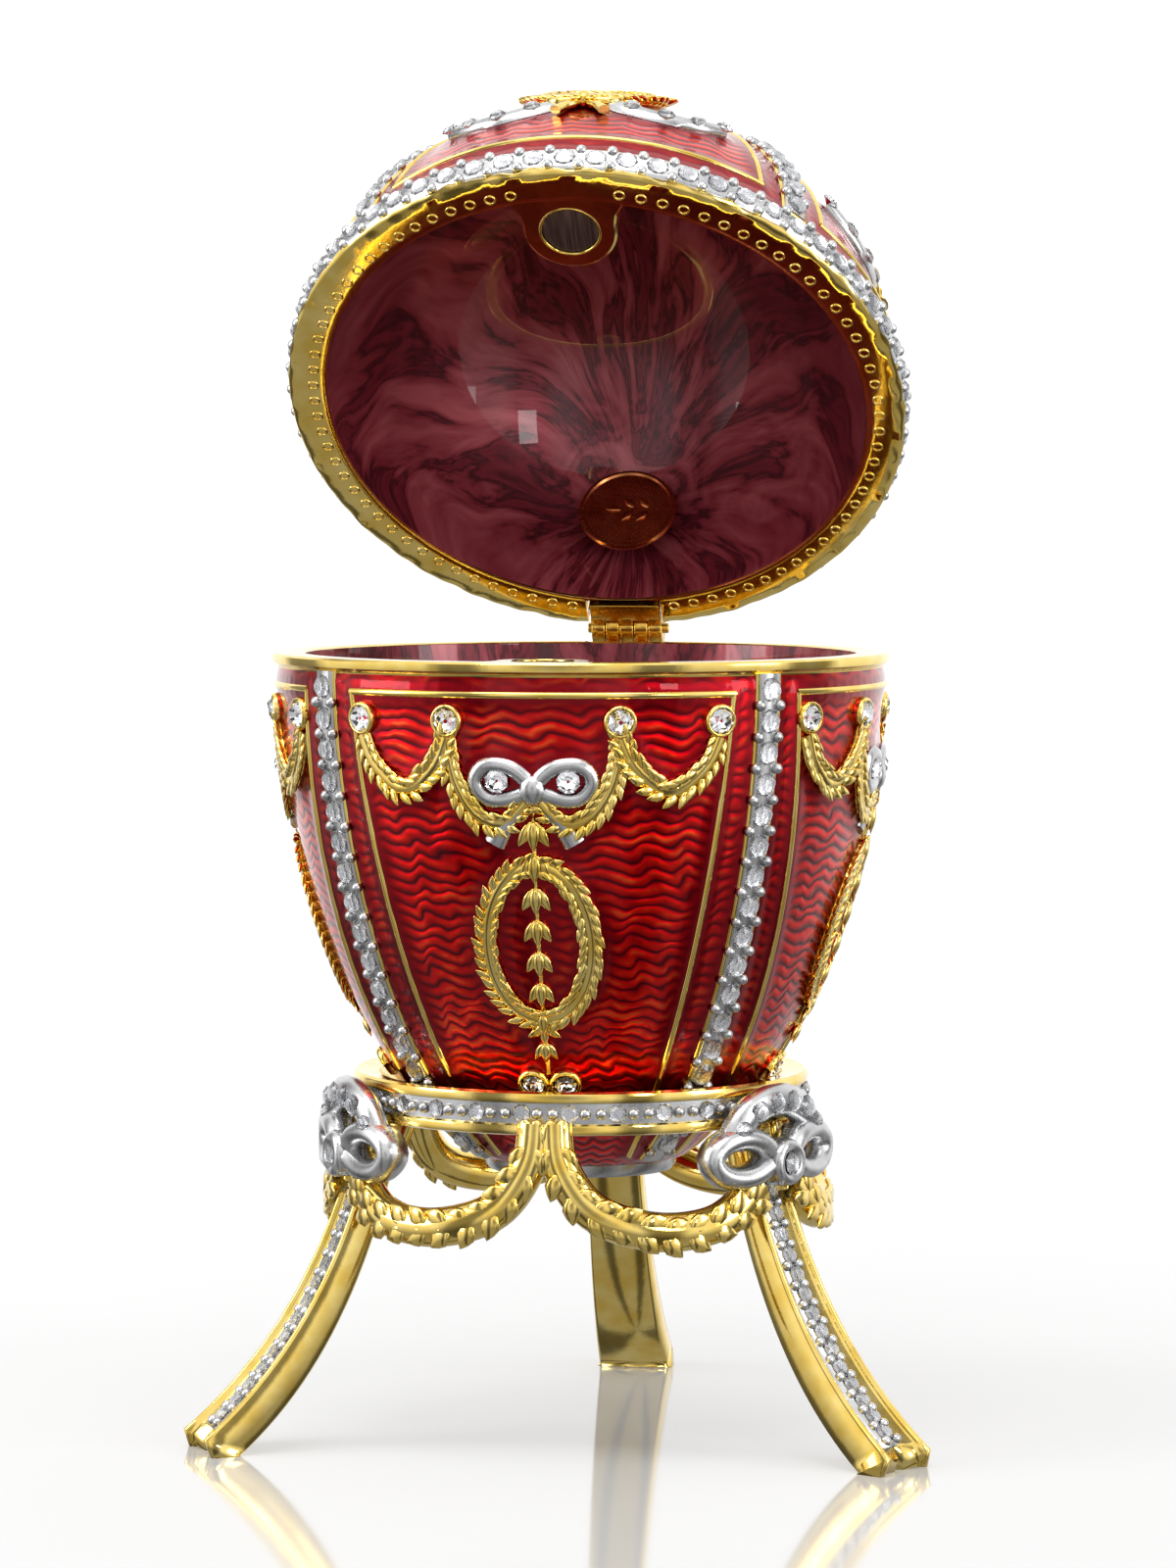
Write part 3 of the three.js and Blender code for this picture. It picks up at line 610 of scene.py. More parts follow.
def make_bead(radius):
    """A grain of silver: a ball cut flat where it sits."""
    bpy.ops.object.select_all(action="DESELECT")
    bpy.ops.mesh.primitive_ico_sphere_add(subdivisions=2, radius=radius)
    bead = bpy.context.object
    bead.name = "bead_model"
    bpy.ops.object.mode_set(mode="EDIT")
    bpy.ops.mesh.select_all(action="SELECT")
    bpy.ops.mesh.bisect(plane_co=(0, 0, -0.45 * radius), plane_no=(0, 0, 1), clear_inner=True, use_fill=True)
    bpy.ops.object.mode_set(mode="OBJECT")
    return smooth(bead, 60)


def make_setting(inside, height, wall):
    """A turned collar round a stone, with a rounded lip."""
    outside = inside + wall
    return turn("setting_model", [
        (inside, -0.4), (outside + 0.1, -0.4), (outside, height * 0.6), (outside - wall * 0.3, height),
        (inside + wall * 0.2, height * 0.95)], steps=20)


def make_leaf(long, wide, thick):
    """A laurel leaf: a ball drawn out along Y, pinched to a point and creased down its middle."""
    bpy.ops.object.select_all(action="DESELECT")
    bpy.ops.mesh.primitive_uv_sphere_add(segments=8, ring_count=6, radius=0.5, rotation=(math.pi / 2, 0, 0))
    leaf = bpy.context.object
    leaf.name = "leaf_model"
    bpy.ops.object.transform_apply(rotation=True)
    for vertex in leaf.data.vertices:
        x, y, z = vertex.co
        pinch = 1 - 0.75 * max(0, y * 2) ** 1.5
        crease = 0.22 * max(0, 1 - abs(x) * 5) if z > 0 else 0
        vertex.co = (x * wide * pinch, (y + 0.5) * long, (z - crease * z * 2) * thick * pinch + 0.1 * y)
    return smooth(leaf, 60)


bead_model = make_bead(BEAD_RADIUS)
leaf_model = make_leaf(LEAF_LONG, LEAF_WIDE, LEAF_THICK)
setting_model = make_setting(STONE_RADIUS * 0.98, 0.55, 0.42)
setting_model.data.materials.append(gold_plate)
print("bead:", len(bead_model.data.polygons), "faces; leaf:", len(leaf_model.data.polygons), "faces")

# %% [markdown]
# Laurel is a stem with leaves laid over it in pairs, each pair overlapping the next like tiles.
# The stem is lofted along the flat path, and each leaf is set out on the skin with a small tilt.

# %% A laurel branch on a skin
def laurel(name, skin, azimuth, points, width, lift=0.15, closed=False):
    """A branch along a flat path, in two pieces joined: the stem and its leaves."""
    path = flow(points, 1.0, closed)
    stem = bend(name, skin, azimuth, path, width * 0.8, width * 0.6, lift, ring=closed)
    leaves = []
    for n, (place, way) in enumerate(zip(*path)):
        along = n / (len(path[0]) - 1)
        size = width / 2.8 * (1 if closed else 0.76 + 0.36 * math.sin(math.pi * along))
        heading = math.atan2(-way[0], way[1])
        for side in (-1, 1):
            x, y = place[:2] + side * 0.2 * width * np.array([way[1], -way[0]])
            sway = 0.12 * math.sin(n * 2.4 + side)
            spot = skin.spot(azimuth, x, y, place[2] + lift + 0.16 * width, heading - side * (0.38 + sway))
            leaves.append(spot @ Matrix.Rotation(0.2, 4, "X") @ Matrix.Scale(size, 4))
    return combine(name, [stem, set_out(name + "_leaves", leaf_model, leaves)])




# %% [markdown]
# ## Ornament of the bowl
# Four panels, each a quarter turn, carry the same design, so it is drawn once in flat millimetres
# and bent on at four azimuths. Between the panels runs a band of stones: a silver strip with a gold
# edge, a row of stones, and a pair of beads in every gap, as a setter would raise grains.

# %% A band of stones
STONE_PITCH, BAND_WIDTH, BEAD_OFF = 3.05, 2.45, 1.16
STRIP_SECTION = [
    (-1, -0.9), (-0.98, 0.5), (-0.8, 1.0), (0, 1.0), (0.8, 1.0), (0.98, 0.5), (1, -0.9), (0, -0.9)]
setter = np.random.default_rng(11)


def seat(skin, azimuth, x, y, z, size=1.0):
    """A place for one stone, set by hand: turned at random and tilted by a degree or two."""
    spot = skin.spot(azimuth, x, y, z, setter.uniform(0, math.pi))
    for axis in ("X", "Y"):
        spot = spot @ Matrix.Rotation(setter.normal(0, 0.05), 4, axis)
    return spot @ Matrix.Scale(size, 4)


def jewelled_band(name, skin, azimuth, start, end, stones, beads):
    """The strip with its gold edges. Stones and beads are added to the lists."""
    places, ahead = flow([(0, start), (0, (start + end) / 2), (0, end)], 1.0)
    strip = bend(name, skin, azimuth, (places, ahead), BAND_WIDTH, 0.9, 0.25, STRIP_SECTION)
    edges = []
    for side in (-1, 1):
        shifted = places + [side * (BAND_WIDTH / 2 + 0.1), 0, 0]
        edges.append(bend(name + "_edge", skin, azimuth, (shifted, ahead), 0.42, 0.7, 0.1))
    step = math.copysign(STONE_PITCH, end - start)
    for n in range(int(abs(end - start) / STONE_PITCH)):
        y = start + (n + 0.5) * step
        stones.append(seat(skin, azimuth, 0, y, 0.78))
        for side in (-1, 1):
            x = side * BEAD_OFF + setter.normal(0, 0.07)
            beads.append(skin.spot(azimuth, x, y + step / 2, 0.62))
    return strip, combine(name + "_edges", edges)


# %% A ribbon bow
BOW_LOOP = [(0.2, 0.25), (1.7, 1.75), (3.9, 1.9), (4.7, 0.6), (3.6, -0.75), (1.6, -0.6)]
BOW_TAIL = [(0.2, -0.3), (1.3, -1.9), (2.1, -2.6), (3.2, -4.4)]


def ribbon_bow(name, skin, azimuth, y, size, ribbon, lift):
    """Two loops, a knot and two tails that widen, all of one flat ribbon."""
    pieces = []
    wide = ribbon * size
    for side in (-1, 1):
        loop = flow([(side * a * size, y + b * size) for a, b in BOW_LOOP], 0.5, closed=True)
        pieces.append(bend(name, skin, azimuth, loop, wide, 1.1, lift, ring=True))
        tail = flow([(side * a * size, y + b * size) for a, b in BOW_TAIL], 0.5)
        pieces.append(bend(name, skin, azimuth, tail, lambda t: wide * (0.7 + 0.7 * t), 0.9, lift - 0.1))
    knot = skin.spot(azimuth, 0, y, lift) @ Matrix.Diagonal((2.0 * size, 2.3 * size, 1.7, 1))
    pieces.append(set_out(name, bead_model, [knot]))
    return combine(name, pieces)


# %% The wires and wreaths of a panel
PANELS, CORNERS = (0, 90, 180, 270), (45, 135, 225, 315)
FRAME_TOP, FRAME_FOOT = -3.1, -54.0
FRAME_DROPS, FRAME_HALF = [3.1, 47.0, 54.0], np.deg2rad([37.6, 31.4, 31.4])


def frame_wire(name, skin, azimuth, points, width=0.62):
    return bend(name, skin, azimuth, flow(points, 0.8), width, 0.75, 0.12)


def bowl_frame(azimuth):
    """Two sides that follow the bowl in towards its foot, and a straight top."""
    drops = np.linspace(-FRAME_TOP, -FRAME_FOOT, 12)
    half = [float(np.interp(drop, FRAME_DROPS, FRAME_HALF) * bowl_skin.at(-drop)[0]) for drop in drops]
    wires = []
    for side in (-1, 1):
        edge = [(side * x, -drop) for x, drop in zip(half, drops)]
        wires.append(frame_wire("bowl_frame", bowl_skin, azimuth, edge))
    top = [(x, FRAME_TOP) for x in np.linspace(-half[0] - 0.2, half[0] + 0.2, 9)]
    return wires + [frame_wire("bowl_frame", bowl_skin, azimuth, top, 0.75)]


def oval(across, tall, middle, count):
    """Points round an upright oval, from its top."""
    angles = np.linspace(0, 2 * math.pi, count, endpoint=False)
    return [(across * math.sin(a), middle + tall * math.cos(a)) for a in angles]


# %% The four panels of the bowl
INNER_STUD, OUTER_STUD, STUD_LINE = 8.4, 18.3, -5.6
PAIR_OFF, PAIR_LINE = 1.55, -43.2
bowl_gold, bowl_silver, bowl_stones, bowl_beads, bowl_settings = [], [], [], [], []


def bowl_half_panel(azimuth, side):
    """One side of a panel: the swag between two studs, the branch to the bow, and the stones."""
    inner, outer, hung = side * INNER_STUD, side * OUTER_STUD, STUD_LINE - 1.6
    swag = [(outer, hung), (outer - side * 1.5, -10.0), ((inner + outer) / 2, -12.3),
            (inner + side * 1.5, -10.2), (inner, hung)]
    branch = [(inner, hung), (side * 7.7, -11.2), (side * 5.6, -14.6), (side * 2.9, -15.4),
              (side * 0.7, -13.4)]
    bowl_gold.append(laurel("bowl_swag", bowl_skin, azimuth, swag, 2.3))
    bowl_gold.append(laurel("bowl_branch", bowl_skin, azimuth, branch, 2.1))
    bowl_stones.append(seat(bowl_skin, azimuth, side * 3.4, -11.3, 0.75, 0.98))
    bowl_stones.append(seat(bowl_skin, azimuth, side * PAIR_OFF, PAIR_LINE, 0.6, 0.92))
    bowl_settings.append(bowl_skin.spot(azimuth, side * PAIR_OFF, PAIR_LINE, 0.3))
    for x in (inner, outer):
        bowl_stones.append(seat(bowl_skin, azimuth, x, STUD_LINE, 0.75, 1.04))
        bowl_settings.append(bowl_skin.spot(azimuth, x, STUD_LINE, 0.3))


for azimuth in PANELS:
    bowl_gold += bowl_frame(azimuth)
    for side in (-1, 1):
        bowl_half_panel(azimuth, side)
    bowl_silver.append(ribbon_bow("bowl_bow", bowl_skin, azimuth, -12.2, size=1.2, ribbon=1.25, lift=0.4))
    wreath = oval(5.0, 8.0, -27.6, 16)
    bowl_gold.append(laurel("bowl_wreath", bowl_skin, azimuth, wreath, 2.2, closed=True))
print("bowl relief so far:", len(bowl_gold), "gold pieces,", len(bowl_stones), "stones")

# %% [markdown]
# A husk chain hangs from each bow through the wreath: little bellflowers threaded on a wire, each
# smaller than the one above. It is made of the same leaf, three to a flower, with a rosette of six
# near its end.

# %% Husk chains, rosettes and bands of the bowl
HUSK_PITCH, ROSETTE_LINE = 3.3, -36.6
husks = []
for azimuth in PANELS:
    wire = flow([(0, -14), (0, -28), (0, -42)], 1.0)
    bowl_gold.append(bend("bowl_wire", bowl_skin, azimuth, wire, 0.5, 0.7, 0.2))
    for n, y in enumerate(np.arange(-16.8, -40, -HUSK_PITCH)):
        for lean in (-0.55, 0, 0.55):
            spot = bowl_skin.spot(azimuth, 0, y + 1.6, 0.55 if lean else 0.8, math.pi + lean)
            husks.append(spot @ Matrix.Scale(1.2 - 0.045 * n, 4))
    for n in range(6):
        spot = bowl_skin.spot(azimuth, 0, ROSETTE_LINE, 0.6, n * math.pi / 3)
        husks.append(spot @ Matrix.Scale(0.8, 4))
bowl_gold.append(set_out("bowl_husks", leaf_model, husks))
for azimuth in CORNERS:
    strip, edges = jewelled_band("bowl_band", bowl_skin, azimuth, -1.2, -54.5, bowl_stones, bowl_beads)
    bowl_silver.append(strip)
    bowl_gold.append(edges)
print("husks:", len(husks), "band stones and studs:", len(bowl_stones))

# %% [markdown]
# ## The bowl's wall
# The wall is one closed shell, turned on the lathe: enamel outside, a flat gold rim with a lip that
# flares a little, the marbled lining inside, and a plain silver foot ring. Enamel creeps up
# against raised metal while it melts, so the skin is lifted in a soft curve beside every
# ornament, and the same distance feeds the shader's dark pool.

# %% The skin map and the pools
ENAMEL_SLOT, METAL_SLOT, LINING_SLOT, FOOT_SLOT = 0, 1, 2, 3
POOL_REACH, POOL_RISE = 0.9, 0.28


def shell_map(piece, skin, pole=0.0):
    """The skin map: u runs once round from the back, v is millimetres from the rim. On the lining v
    is millimetres from its pole, which may lie behind the axis."""
    mesh = piece.data
    mesh.uv_layers.new(name="skin")
    rows = mesh.uv_layers["skin"].data
    climb = np.sign(skin.y[0] + skin.y[-1])
    order, inwards = np.argsort(skin.height), np.argsort(skin.radius)
    pole_height = np.interp(pole, skin.radius[inwards], skin.height[inwards])
    for face in mesh.polygons:
        lining = face.material_index == LINING_SLOT
        behind = pole if lining else 0.0
        middle = math.atan2(face.center.x, behind - face.center.y)
        for loop in face.loop_indices:
            corner = mesh.vertices[mesh.loops[loop].vertex_index].co
            on_axis = math.hypot(corner.x, corner.y) <= 1e-3
            around = middle if on_axis else math.atan2(corner.x, behind - corner.y)
            around -= round((around - middle) / (2 * math.pi)) * 2 * math.pi
            v = climb * np.interp(corner.z, skin.height[order], skin.y[order])
            if lining:
                v = math.dist(corner, (0, behind, pole_height))
            rows[loop].uv = (around / (2 * math.pi) + 0.5, v)


def pool_beside(piece, ornaments):
    """Lifts the enamel towards nearby ornament and keeps how near it is in the pool attribute."""
    near = [vertex.co for ornament in ornaments for vertex in ornament.data.vertices]
    tree = kdtree.KDTree(len(near))
    for n, place in enumerate(near):
        tree.insert(place, n)
    tree.balance()
    mesh = piece.data
    enamelled = {i for face in mesh.polygons if face.material_index == ENAMEL_SLOT for i in face.vertices}
    edge = {i for face in mesh.polygons if face.material_index != ENAMEL_SLOT for i in face.vertices}
    depth, places = np.zeros(len(mesh.vertices)), []
    for vertex in mesh.vertices:
        lift = 0.0
        if vertex.index in enamelled:
            gap = tree.find(vertex.co)[2]
            depth[vertex.index] = min(1.0, 1.1 * math.exp(-((gap / (1.5 * POOL_REACH)) ** 2)))
            lift = 0.0 if vertex.index in edge else POOL_RISE * math.exp(-((gap / POOL_REACH) ** 2))
        places.append(vertex.co + vertex.normal * lift)
    mesh.vertices.foreach_set("co", np.array(places).ravel())
    mesh.attributes.new("pool", "FLOAT", "POINT").data.foreach_set("value", depth)
    print(piece.name, "pooled beside", len(near), "points of relief")


# %% The notch for the hinge
NOTCH_WIDE, NOTCH_HIGH, NOTCH_FACE, NOTCH_BACK = 8.0, 3.5, 27.7, 36.7
PAST = 2.0


def cut_notch(piece, low, high):
    """Cuts the notch that the hinge leaf is let into, at the back of a rim."""
    bpy.ops.mesh.primitive_cube_add(
        size=1, location=(0, (NOTCH_FACE + NOTCH_BACK) / 2, (low + high) / 2),
        scale=(NOTCH_WIDE, NOTCH_BACK - NOTCH_FACE, high - low))
    bpy.ops.object.transform_apply(location=True, rotation=True, scale=True)
    return smooth(cut_away(piece, bpy.context.object, "MANIFOLD"))


def in_notch(face):
    """Whether a face belongs to the cut for the hinge, whose walls are bare metal."""
    x, y, z = face.center
    level = RIM_HEIGHT - NOTCH_HIGH - 0.1 < z < LID_FLOOR + NOTCH_HIGH + 0.1
    squarely = max(abs(face.normal.x), abs(face.normal.z), face.normal.y) > 0.9
    return abs(x) < NOTCH_WIDE / 2 + 0.05 and y > NOTCH_FACE - 0.1 and level and squarely


# %% The bowl's shell
FOOT_RADIUS = 9.4
foot = [(0, 0.6), (FOOT_RADIUS - 2.4, 0.6), (FOOT_RADIUS - 1.6, 0.1), (FOOT_RADIUS - 0.2, 0),
        (FOOT_RADIUS + 0.2, 0.5), (FOOT_RADIUS + 0.3, 1.2)]
lip = [(BOWL_RADIUS, -1.4), (BOWL_RADIUS + 0.15, -1.15), (RIM_RADIUS - 0.05, -0.9), (RIM_RADIUS, -0.6),
       (RIM_RADIUS, -0.2), (RIM_RADIUS - 0.2, 0), (INNER_RADIUS + 0.3, 0), (INNER_RADIUS + 0.05, -0.15)]
outside = bowl_curve(BOWL_RADIUS, BOWL_DEPTH, BOWL_REACH, 116)[::-1]
inside = bowl_curve(INNER_RADIUS, BOWL_DEPTH - WALL, BOWL_DEPTH - WALL, 60)
bowl_profile = above(BASE_HEIGHT, foot)
bowl_profile += [point for point in outside if BASE_HEIGHT + 1.4 < point[1] < RIM_HEIGHT - 1.5]
bowl_profile += above(RIM_HEIGHT, lip)
bowl_profile += [point for point in inside if point[1] < RIM_HEIGHT - 0.4]
bowl_shell = cut_notch(turn("bowl_shell", bowl_profile, 360), RIM_HEIGHT - NOTCH_HIGH, RIM_HEIGHT + PAST)
for material in (red_enamel, gold_plate, lining_enamel, silver_plate):
    bowl_shell.data.materials.append(material)
for face in bowl_shell.data.polygons:
    height = face.center.z
    inward = face.normal.x * face.center.x + face.normal.y * face.center.y < 0 or face.normal.z > 0.3
    on_lip = height > RIM_HEIGHT - 1.38 and not (inward and height < RIM_HEIGHT - 0.3)
    if on_lip or in_notch(face):
        face.material_index = METAL_SLOT
    elif height < BASE_HEIGHT + 1.35:
        face.material_index = FOOT_SLOT
    elif inward:
        face.material_index = LINING_SLOT
shell_map(bowl_shell, bowl_skin)
pool_beside(bowl_shell, bowl_gold + bowl_silver)

# %% Lay the bowl in the frame
settle(bowl_shell, "base", "red_enamel")
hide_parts("bowl")
settle(combine("bowl_gold_relief", bowl_gold), "base", "gold_plate", gold_plate)
settle(combine("bowl_silver_relief", bowl_silver), "base", "gold_plate", silver_plate)
settle(set_out("bowl_settings", setting_model, bowl_settings), "base", "gold_plate", gold_plate)
settle(set_out("bowl_beads", bead_model, bowl_beads), "base", "gold_plate", silver_plate)
bowl_stone_row = settle(set_out("bowl_stones", stone_model, bowl_stones), "base", "crystal")
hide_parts(*[name for name in frame["nodes"] if name.startswith("crystal_panel")])
print("bowl:", len(bowl_stones), "stones and", len(bowl_beads), "beads")

# %% [markdown]
# ## The lid
# The lid is modelled shut. Its skin climbs from the rim to the crown, and its four panels line up
# with the bowl's. A laurel wreath stands on each panel with a small bow below it, and silver
# ribbons set with stones run to either side.

# %% Ornament of the lid
LID_LINE, LID_HEAD = 4.6, 43.0
PANEL_FOOT, PANEL_HEAD, PANEL_GAP = 7.0, 37.5, 3.9
WREATH_MIDDLE, WREATH_RADIUS = 23.4, 6.1
LID_BOW_LINE = 16.4
LID_RIBBON = [(2.2, 17.0), (5.0, 14.7), (8.4, 13.7), (11.6, 14.2), (14.2, 16.0)]
lid_gold, lid_silver, lid_stones, lid_beads, lid_petals = [], [], [], [], []


def lid_frame(azimuth):
    """Two sides that follow the lid in towards its crown, a straight foot and a straight head."""
    climb = np.linspace(PANEL_FOOT, PANEL_HEAD, 10)
    half = [float(lid_skin.at(y)[0] * math.pi / 4 - PANEL_GAP) for y in climb]
    lines = [[(side * x, y) for x, y in zip(half, climb)] for side in (-1, 1)]
    for y, reach in ((PANEL_FOOT, half[0] + 0.2), (PANEL_HEAD, half[-1] + 0.2)):
        lines.append([(x, y) for x in np.linspace(-reach, reach, 7)])
    return [frame_wire("lid_frame", lid_skin, azimuth, line) for line in lines]


def lid_ribbon(azimuth, side):
    """A silver ribbon that narrows away from the bow, with a stone at each of its points."""
    ribbon = [(side * x, y) for x, y in LID_RIBBON]
    lid_silver.append(bend("lid_ribbon", lid_skin, azimuth, flow(ribbon, 0.6), lambda t: 2.7 - t, 1.6, 0.3))
    for x, y in ribbon:
        lid_stones.append(seat(lid_skin, azimuth, x, y, 1.0, 0.82))


for azimuth in PANELS:
    lid_gold += lid_frame(azimuth)
    wreath = oval(WREATH_RADIUS, WREATH_RADIUS, WREATH_MIDDLE, 14)
    lid_gold.append(laurel("lid_wreath", lid_skin, azimuth, wreath, 2.9, lift=0.5, closed=True))
    lid_gold.append(ribbon_bow("lid_bow", lid_skin, azimuth, LID_BOW_LINE, size=0.75, ribbon=1.3, lift=0.9))
    for n in range(5):
        petal = lid_skin.spot(azimuth, 0, LID_BOW_LINE, 1.3, n * 2 * math.pi / 5)
        lid_petals.append(petal @ Matrix.Scale(0.85, 4))
    for side in (-1, 1):
        lid_ribbon(azimuth, side)
lid_gold.append(set_out("lid_petals", leaf_model, lid_petals))
for azimuth in CORNERS:
    strip, edges = jewelled_band("lid_band", lid_skin, azimuth, LID_LINE, LID_HEAD, lid_stones, lid_beads)
    lid_silver.append(strip)
    lid_gold.append(edges)

# %% [markdown]
# Round the foot of the lid runs a last row of stones in a silver channel with a gold line above it.

# %% The rim band, its line and the crown
STONES_ROUND, HINGE_GAP = 64, 9
CROWN = RIM_HEIGHT + LID_RISE
channel = [(30.2, 1.1), (31.25, 1.1), (31.5, 1.4), (31.5, 3.7), (31.2, 4.05), (30.2, 4.05)]
line = [(30.2, 4.1), (30.75, 4.15), (30.85, 4.4), (30.7, 4.65), (30.2, 4.7)]
button = [(0, -2), (5.5, -2), (5.55, -0.2), (5.0, 0.5), (3.4, 0.5), (3.2, 1.2), (2.6, 1.3), (2.4, 0.6),
          (0, 0.5)]
rim_band = turn("lid_rim_band", above(RIM_HEIGHT, channel), 180)
lid_silver.append(cut_notch(rim_band, LID_FLOOR - PAST, LID_FLOOR + NOTCH_HIGH))
lid_gold.append(turn("lid_rim_line", above(RIM_HEIGHT, line), 180))
band_skin = upright_skin(31.45, RIM_HEIGHT + 2.6)
for n in range(STONES_ROUND):
    azimuth = 360 * n / STONES_ROUND
    if abs(azimuth - 180) < HINGE_GAP:
        continue
    lid_stones.append(seat(band_skin, azimuth, 0, 0, 0.0, 0.98))
    for y in (-1.1, 1.1):
        lid_beads.append(band_skin.spot(azimuth + 180 / STONES_ROUND, 0, y, setter.normal(0, 0.04)))

lid_silver.append(turn("lid_crown", above(CROWN, button), 64))
lid_stones.append(Matrix.Translation((0, 0, CROWN + 1.2)) @ Matrix.Scale(2.0, 4))
for x, y in circle(20):
    lid_beads.append(Matrix.Translation((4.3 * x, 4.3 * y, CROWN + 0.5)))
print("lid:", len(lid_stones), "stones and", len(lid_beads), "beads")

# %% [markdown]
# The lid's gold lip was struck by hand, so its edge wavers a little.

# %% The lid's shell
LINING_POLE = 26.0
lid_rim = [(INNER_RADIUS, 0.3), (INNER_RADIUS + 0.1, 0.06), (INNER_RADIUS + 0.4, 0), (28.6, 0), (29.4, 0),
           (30.2, 0), (RIM_RADIUS, 0.02), (RIM_RADIUS + 0.35, 0.15), (RIM_RADIUS + 0.55, 0.45),
           (RIM_RADIUS + 0.4, 0.8), (RIM_RADIUS - 0.1, 1.0)]
outside = lid_curve(LID_RADIUS, LID_RISE, 100)
inside = lid_curve(INNER_RADIUS, INNER_RISE, 60)[::-1]
lid_profile = above(LID_FLOOR, lid_rim)
lid_profile += [point for point in outside if point[1] > RIM_HEIGHT + 1.4]
lid_profile += [point for point in inside if point[1] > LID_FLOOR + 0.5]
lid_shell = cut_notch(turn("lid_shell", lid_profile, 360), LID_FLOOR - PAST, LID_FLOOR + NOTCH_HIGH)
for material in (red_enamel, gold_plate, lining_enamel):
    lid_shell.data.materials.append(material)
for face in lid_shell.data.polygons:
    inward = face.normal.dot(face.center - Vector((0, 0, RIM_HEIGHT))) < 0
    rim_face = face.center.z < LID_FLOOR + 1.05 and (not inward or face.center.z < LID_FLOOR + 0.2)
    if rim_face or in_notch(face):
        face.material_index = METAL_SLOT
    elif inward:
        face.material_index = LINING_SLOT
for vertex in lid_shell.data.vertices:
    around = math.atan2(vertex.co.y, vertex.co.x)
    edge = max(0, math.hypot(vertex.co.x, vertex.co.y) - RIM_RADIUS)
    strike = math.sin(41 * around) + math.sin(67 * around + 1) + math.sin(23 * around + 2)
    vertex.co *= 1 + 0.0012 * strike * min(1, edge / 0.3) * (vertex.co.z < LID_FLOOR + 0.9)
shell_map(lid_shell, lid_skin, LINING_POLE)
pool_beside(lid_shell, lid_gold + lid_silver)

# %% [markdown]
# The gold face of the lid's rim was punched with a row of small rings. One ring is a torus, and the
# rest are copies of it. The row stops short of the hinge at the back and the tab in front.

# %% The punched rings
RINGS, RINGS_RADIUS = 84, 29.0
bpy.ops.mesh.primitive_torus_add(major_radius=0.5, minor_radius=0.13, major_segments=12, minor_segments=6)
ring_model = smooth(bpy.context.object, 80)
ring_places = []
for n in range(RINGS):
    angle = 2 * math.pi * (n + 0.5) / RINGS
    from_hinge, from_tab = (abs(math.sin(angle / 2 + quarter)) for quarter in (-math.pi / 4, math.pi / 4))
    if from_hinge >= 0.07 and from_tab >= 0.06:
        x, y = RINGS_RADIUS * math.cos(angle), RINGS_RADIUS * math.sin(angle)
        ring_places.append(Matrix.Translation((x, y, LID_FLOOR - 0.01)))
lid_gold.append(set_out("lid_rings", ring_model, ring_places))
print("punched rings:", len(ring_places))

# %% Lay the lid in the frame
settle(lid_shell, "lid", "red_enamel")
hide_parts("lid")
settle(combine("lid_gold_relief", lid_gold), "lid", "gold_plate", gold_plate)
settle(combine("lid_silver_relief", lid_silver), "lid", "gold_plate", silver_plate)
settle(set_out("lid_beads", bead_model, lid_beads), "lid", "gold_plate", silver_plate)
settle(set_out("lid_stones", stone_model, lid_stones), "lid", "crystal")

# %% [markdown]
# ## Tabs, magnets, plaque and hinge
# A tab inside each rim holds a magnet. The tab is a flat plate lofted from its outline, and the
# seat is bored with a boolean modifier.

# %% Tabs for the magnets
TAB_FRONT, TAB_RADIUS, TAB_THICK = 23.8, 4.7, 3.2
TAB_FLANK = [(7.6, -28.2), (5.8, -27.4), (4.9, -25.9)]
MAGNET_BORE, COLLAR_SUNK = 2.92, 0.14


def tab(name, low, high, collar_height):
    angles = np.linspace(-0.15, math.pi + 0.15, 25)
    outline = TAB_FLANK + [(TAB_RADIUS * math.cos(a), -TAB_FRONT + TAB_RADIUS * math.sin(a)) for a in angles]
    outline = np.array(outline + [(-x, y) for x, y in TAB_FLANK[::-1]] + [(0, -28.6)])
    middle = np.array([0, -25.5])
    rows = []
    for height, keep in ((low, 0.95), (low + 0.2, 1), (high - 0.2, 1), (high, 0.95)):
        rows.append([(*(middle + (point - middle) * keep), height) for point in outline])
    plate = loft(name, rows)
    place = (0, -TAB_FRONT, collar_height)
    bpy.ops.mesh.primitive_cylinder_add(vertices=48, radius=MAGNET_BORE, depth=4.9, location=place)
    plate = smooth(cut_away(plate, bpy.context.object), 30)
    bpy.ops.mesh.primitive_torus_add(
        major_radius=3.0, minor_radius=0.17, major_segments=48, minor_segments=8, location=place)
    bpy.ops.object.transform_apply(location=True)
    return combine(name, [plate, smooth(bpy.context.object, 80)])


bowl_tab = tab("bowl_tab", RIM_HEIGHT - TAB_THICK, RIM_HEIGHT - 0.02, RIM_HEIGHT - COLLAR_SUNK)
lid_tab = tab("lid_tab", LID_FLOOR + 0.02, LID_FLOOR + TAB_THICK, LID_FLOOR + COLLAR_SUNK)
settle(bowl_tab, "base", "gold_plate", gold_plate)
settle(lid_tab, "lid", "gold_plate", gold_plate)
for magnet in ("magnet_bowl", "magnet_lid"):
    bpy.data.objects[magnet].data.materials.clear()
    bpy.data.objects[magnet].data.materials.append(magnet_steel)

